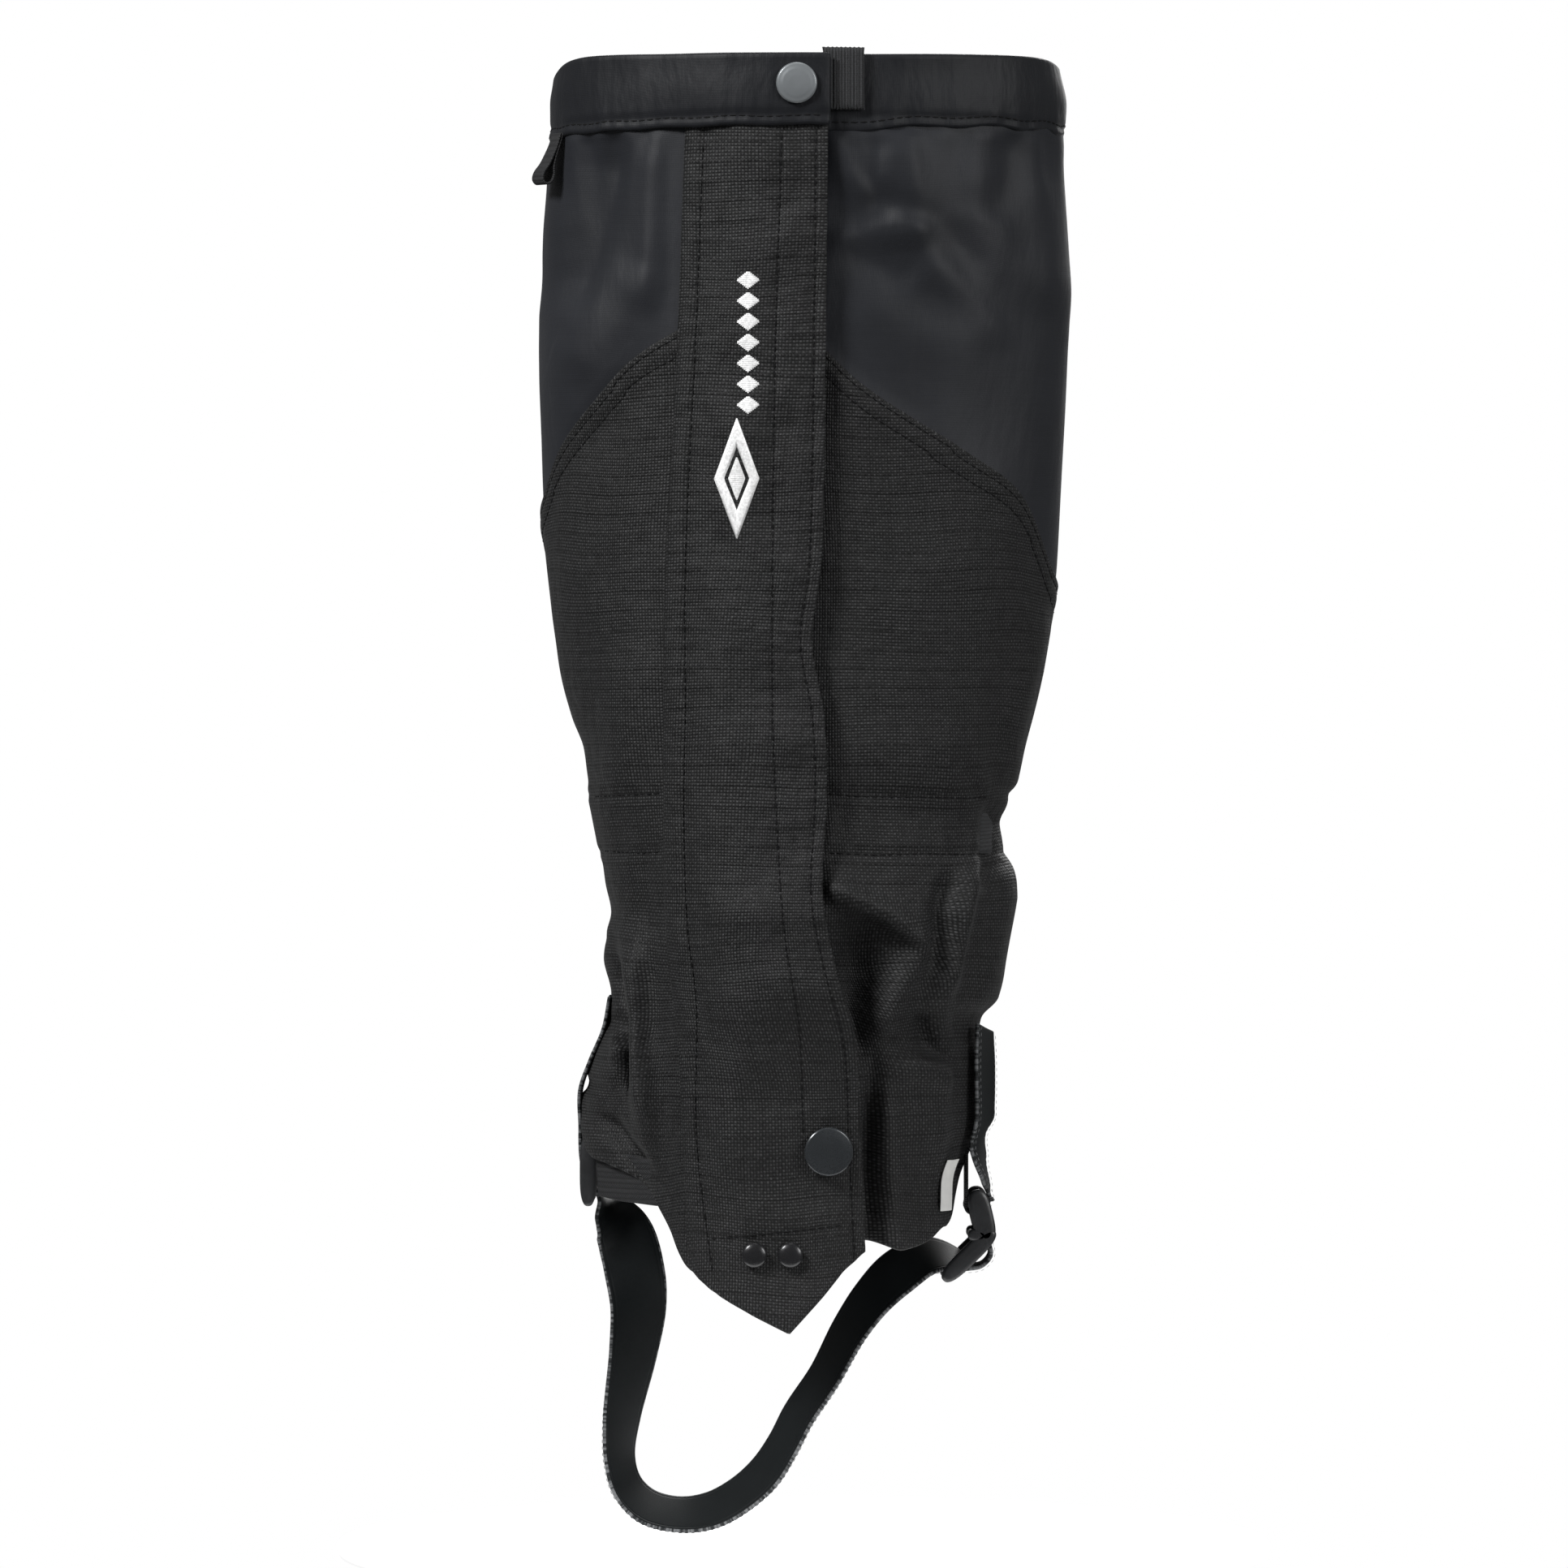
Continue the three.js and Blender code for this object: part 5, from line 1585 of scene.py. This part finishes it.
def add_stitches(made, flap, bands):
    """The sewn rows of the flap, the ankle channel, the seams and the top hem."""
    left_low = Surface(made["lower_left"], LOWER_CELLS)
    right_low = Surface(made["lower_right"], LOWER_CELLS)
    rows = stitch_lines(Surface(flap, FLAP_CELLS), [
        by_height(FLAP_STITCH_LEFT, -142, 222), by_height(FLAP_STITCH_INNER, -98, 222),
        by_height(FLAP_RIGHT, -138, 222, -3.4), [(-29.4, -131.6), (13.5, -126.9)],
    ])
    sewn = stitch_mesh("flap_stitching", rows, 2.7, 2.2, STITCH_WIDTH, STITCH_HEIGHT)
    finish_piece(sewn, None, THREAD)
    blend_flap(sewn)
    rows = stitch_lines(right_low, [
        [(7.5, 9.6), (16.9, 8.8), (36.7, 8.6), (54, 8.2), (60, 8.5)],
        [(7.5, -9.1), (22.6, -9.8), (40, -9.4), (54.1, -9.8), (60, -9.2)],
    ])
    rows += stitch_lines(left_low, [
        [(-68.0, 8.6), (-58.5, 9.2), (-46, 9.8)], [(-64, -8.8), (-52.8, -9.2), (-45.8, -8.9)],
    ])
    rows += [seam_row(surface, drop) for surface in (left_low, right_low) for drop in (2.0, 7.5)]
    sewn = stitch_mesh("panel_stitching", rows, 2.8, 2.3, STITCH_WIDTH, STITCH_HEIGHT)
    finish_piece(sewn, "shell", THREAD)
    for name, band, cells, body in (
        ("band_stitching", bands[1], RIGHT_BAND_CELLS, "shell"),
        ("flap_band_stitching", bands[0], LEFT_BAND_CELLS, None),
    ):
        sewn = stitch_mesh(name, [band_row(band, cells)], 3.0, 2.3, 0.55, STITCH_HEIGHT)
        finish_piece(sewn, body, THREAD)
    blend_flap(sewn)


def seam_row(surface, drop):
    """A stitched row that follows the panel's top edge, drop below it."""
    points = surface.points
    below = points[:, -1, 2][:, None] - points[..., 2]
    j = np.argmin(np.abs(below - drop), axis=1)
    i = np.arange(points.shape[0])
    inner = slice(2, points.shape[0] - 3)
    return points[i, j][inner], surface.normals[i, j][inner]


def band_row(band, cells):
    """The stitched row just above the top hem's lower edge."""
    surface = Surface(band, cells)
    return surface.points[1:-1, 2], surface.normals[1:-1, 2]


def add_strap_stitches():
    """Pale threads along both edges of the strap, on both faces."""
    centre, wide, thick, _ = strap_frames(900)
    rows = []
    shown = slice(int(0.24 * len(centre)), None)
    for side in (-1, 1):
        for face in (-1, 1):
            off_face = thick * face
            points = centre + wide * side * (STRAP_WIDTH / 2 - 0.75) + off_face * (STRAP_THICKNESS / 2 - 0.3)
            rows.append((points[shown], off_face[shown]))
    sewn = stitch_mesh("strap_stitching", rows, 2.1, 1.2, 0.34, 0.14)
    return finish_piece(sewn, "stirrup", PALE_THREAD)


def diamond(cx, cz, half_x, half_z):
    """Threads that fill a diamond, all lying level."""
    lines = []
    for z in np.arange(-half_z + SATIN_STEP / 2, half_z, SATIN_STEP):
        reach = half_x * (1 - abs(z) / half_z)
        if reach > 0.2:
            lines.append(((cx - reach, cz + z), (cx + reach, cz + z)))
    return lines


def ring_of_threads(cx, cz, outer, inner, count):
    """Threads that run outwards between two diamonds."""
    ends = [(0, 1), (1, 0), (0, -1), (-1, 0), (0, 1)]
    lines = []
    for k in range(count):
        corner, share = divmod(k / count * 4, 1)
        dx, dz = (mix(a, b, share) for a, b in zip(ends[int(corner)], ends[int(corner) + 1]))
        lines.append(((cx + dx * inner[0], cz + dz * inner[1]), (cx + dx * outer[0], cz + dz * outer[1])))
    return lines


def add_motif(flap):
    """Plain white needlework in place of the printed name: a column of small diamonds over a larger one."""
    face = Surface(flap, FLAP_CELLS)
    lines = []
    for k in range(7):
        lines += diamond(-17.6, 172.4 - 6.6 * k, 3.7, 2.9)
    lines += ring_of_threads(-21.2, 109.5, (7.2, 19.0), (4.0, 10.6), 190)
    lines += diamond(-21.2, 109.5, 2.7, 7.2)
    count, half_width, half_height, rise = 5, 0.27, 0.25, 0.25
    bow = np.sin(np.linspace(0, math.pi, count)) * rise
    threads = []
    for line in lines:
        points, normals = face.nearest(resample(np.array(line, float), count))
        points = points + normals * bow[:, None]
        level = np.ones(count)
        threads.append(thread_solid(points, normals, half_width * level, half_height * level, 0 * level))
    return finish_piece(join_solids("needlework", threads), "flap", WHITE_THREAD)


# ---------------------------------------------------------------- stage, light and camera
def area_light(name, place, target, size, power):
    light = bpy.data.lights.new(name, "AREA")
    light.shape = "DISK"
    light.size = size
    light.energy = power
    made = bpy.data.objects.new(name, light)
    made.location = place
    made.rotation_mode = "QUATERNION"
    made.rotation_quaternion = (Vector(target) - Vector(place)).to_track_quat("-Z", "Y")
    bpy.context.scene.collection.objects.link(made)
    return made


def add_lights():
    area_light("key", (-1.25, -1.05, 1.35), (0, 0, 0.1), 0.6, 56)
    area_light("fill", (1.5, -1.1, 0.7), (0, 0, 0.08), 0.9, 23)
    area_light("top", (0.1, 0.0, 1.7), (0, 0, 0.1), 0.8, 4)
    area_light("back", (0.4, 1.7, 0.9), (0, 0, 0.0), 1.2, 26)


def add_world():
    """Soft white light all round, seen as plain white."""
    world = bpy.data.worlds.new("studio")
    bpy.context.scene.world = world
    world.use_nodes = True
    tree = world.node_tree
    back = tree.nodes["Background"]
    back.inputs["Color"].default_value = (1, 1, 1, 1)
    back.inputs["Strength"].default_value = 0.2
    seen = tree.nodes.new("ShaderNodeBackground")
    seen.inputs["Color"].default_value = (1, 1, 1, 1)
    seen.inputs["Strength"].default_value = 1.0
    path = tree.nodes.new("ShaderNodeLightPath")
    both = tree.nodes.new("ShaderNodeMixShader")
    tree.links.new(path.outputs["Is Camera Ray"], both.inputs[0])
    tree.links.new(back.outputs[0], both.inputs[1])
    tree.links.new(seen.outputs[0], both.inputs[2])
    tree.links.new(both.outputs[0], tree.nodes["World Output"].inputs["Surface"])


def add_floor():
    """A plain pale disc under the object."""
    angles = np.linspace(0, 2 * math.pi, 96, endpoint=False)
    low = -232.0
    rings = []
    for radius, height in ((150, low - 4), (150.8, low - 0.8), (150, low)):
        rings.append(np.stack([radius * np.cos(angles), radius * np.sin(angles), np.full(96, height)], 1))
    made = mesh_object("floor", *solid_loft(rings))
    face_outwards(made)
    made.data.materials.append(floor_material())


def add_camera():
    """Level and straight in front, as the photograph was taken."""
    camera = bpy.data.cameras.new("camera")
    camera.sensor_width = SENSOR
    camera.lens = SENSOR * (CAMERA_FAR - CAMERA_NEAR_PLANE) / PICTURE_WIDTH
    camera.clip_start = 0.1
    camera.clip_end = 20
    made = bpy.data.objects.new("camera", camera)
    made.location = Vector((CAMERA_X, -CAMERA_FAR, CAMERA_Z)) * MM
    made.rotation_euler = (math.radians(90), 0, 0)
    bpy.context.scene.collection.objects.link(made)
    bpy.context.scene.camera = made


bpy.context.scene.view_settings.view_transform = "Standard"
add_camera()
add_world()
add_lights()
add_floor()
panels = add_panels()
bands = add_top_hem()
flap = add_flap()
add_layers()
add_inner_rings()
add_tab()
add_label()
add_side_pull()
add_webbing_fold()
add_snap("top_snap", TOP_SNAP, HEM_THICKNESS, 0.0, HEM_THICKNESS, TOP_METAL)
add_snap("low_snap", LOW_SNAP, CLOTH, LAYER_GAP + LINING_THICKNESS, FLAP_THICKNESS, LOW_METAL)
add_hook()
add_strap()
add_strap_stitches()
for side_name, spot in (("left", LEFT_BUCKLE), ("right", RIGHT_BUCKLE)):
    add_buckle(side_name + "_buckle", spot, LEFT_RAILS if spot is LEFT_BUCKLE else RIGHT_RAILS)
    add_webbing(side_name + "_webbing", spot)
add_stitches(panels, flap, bands)
add_motif(flap)
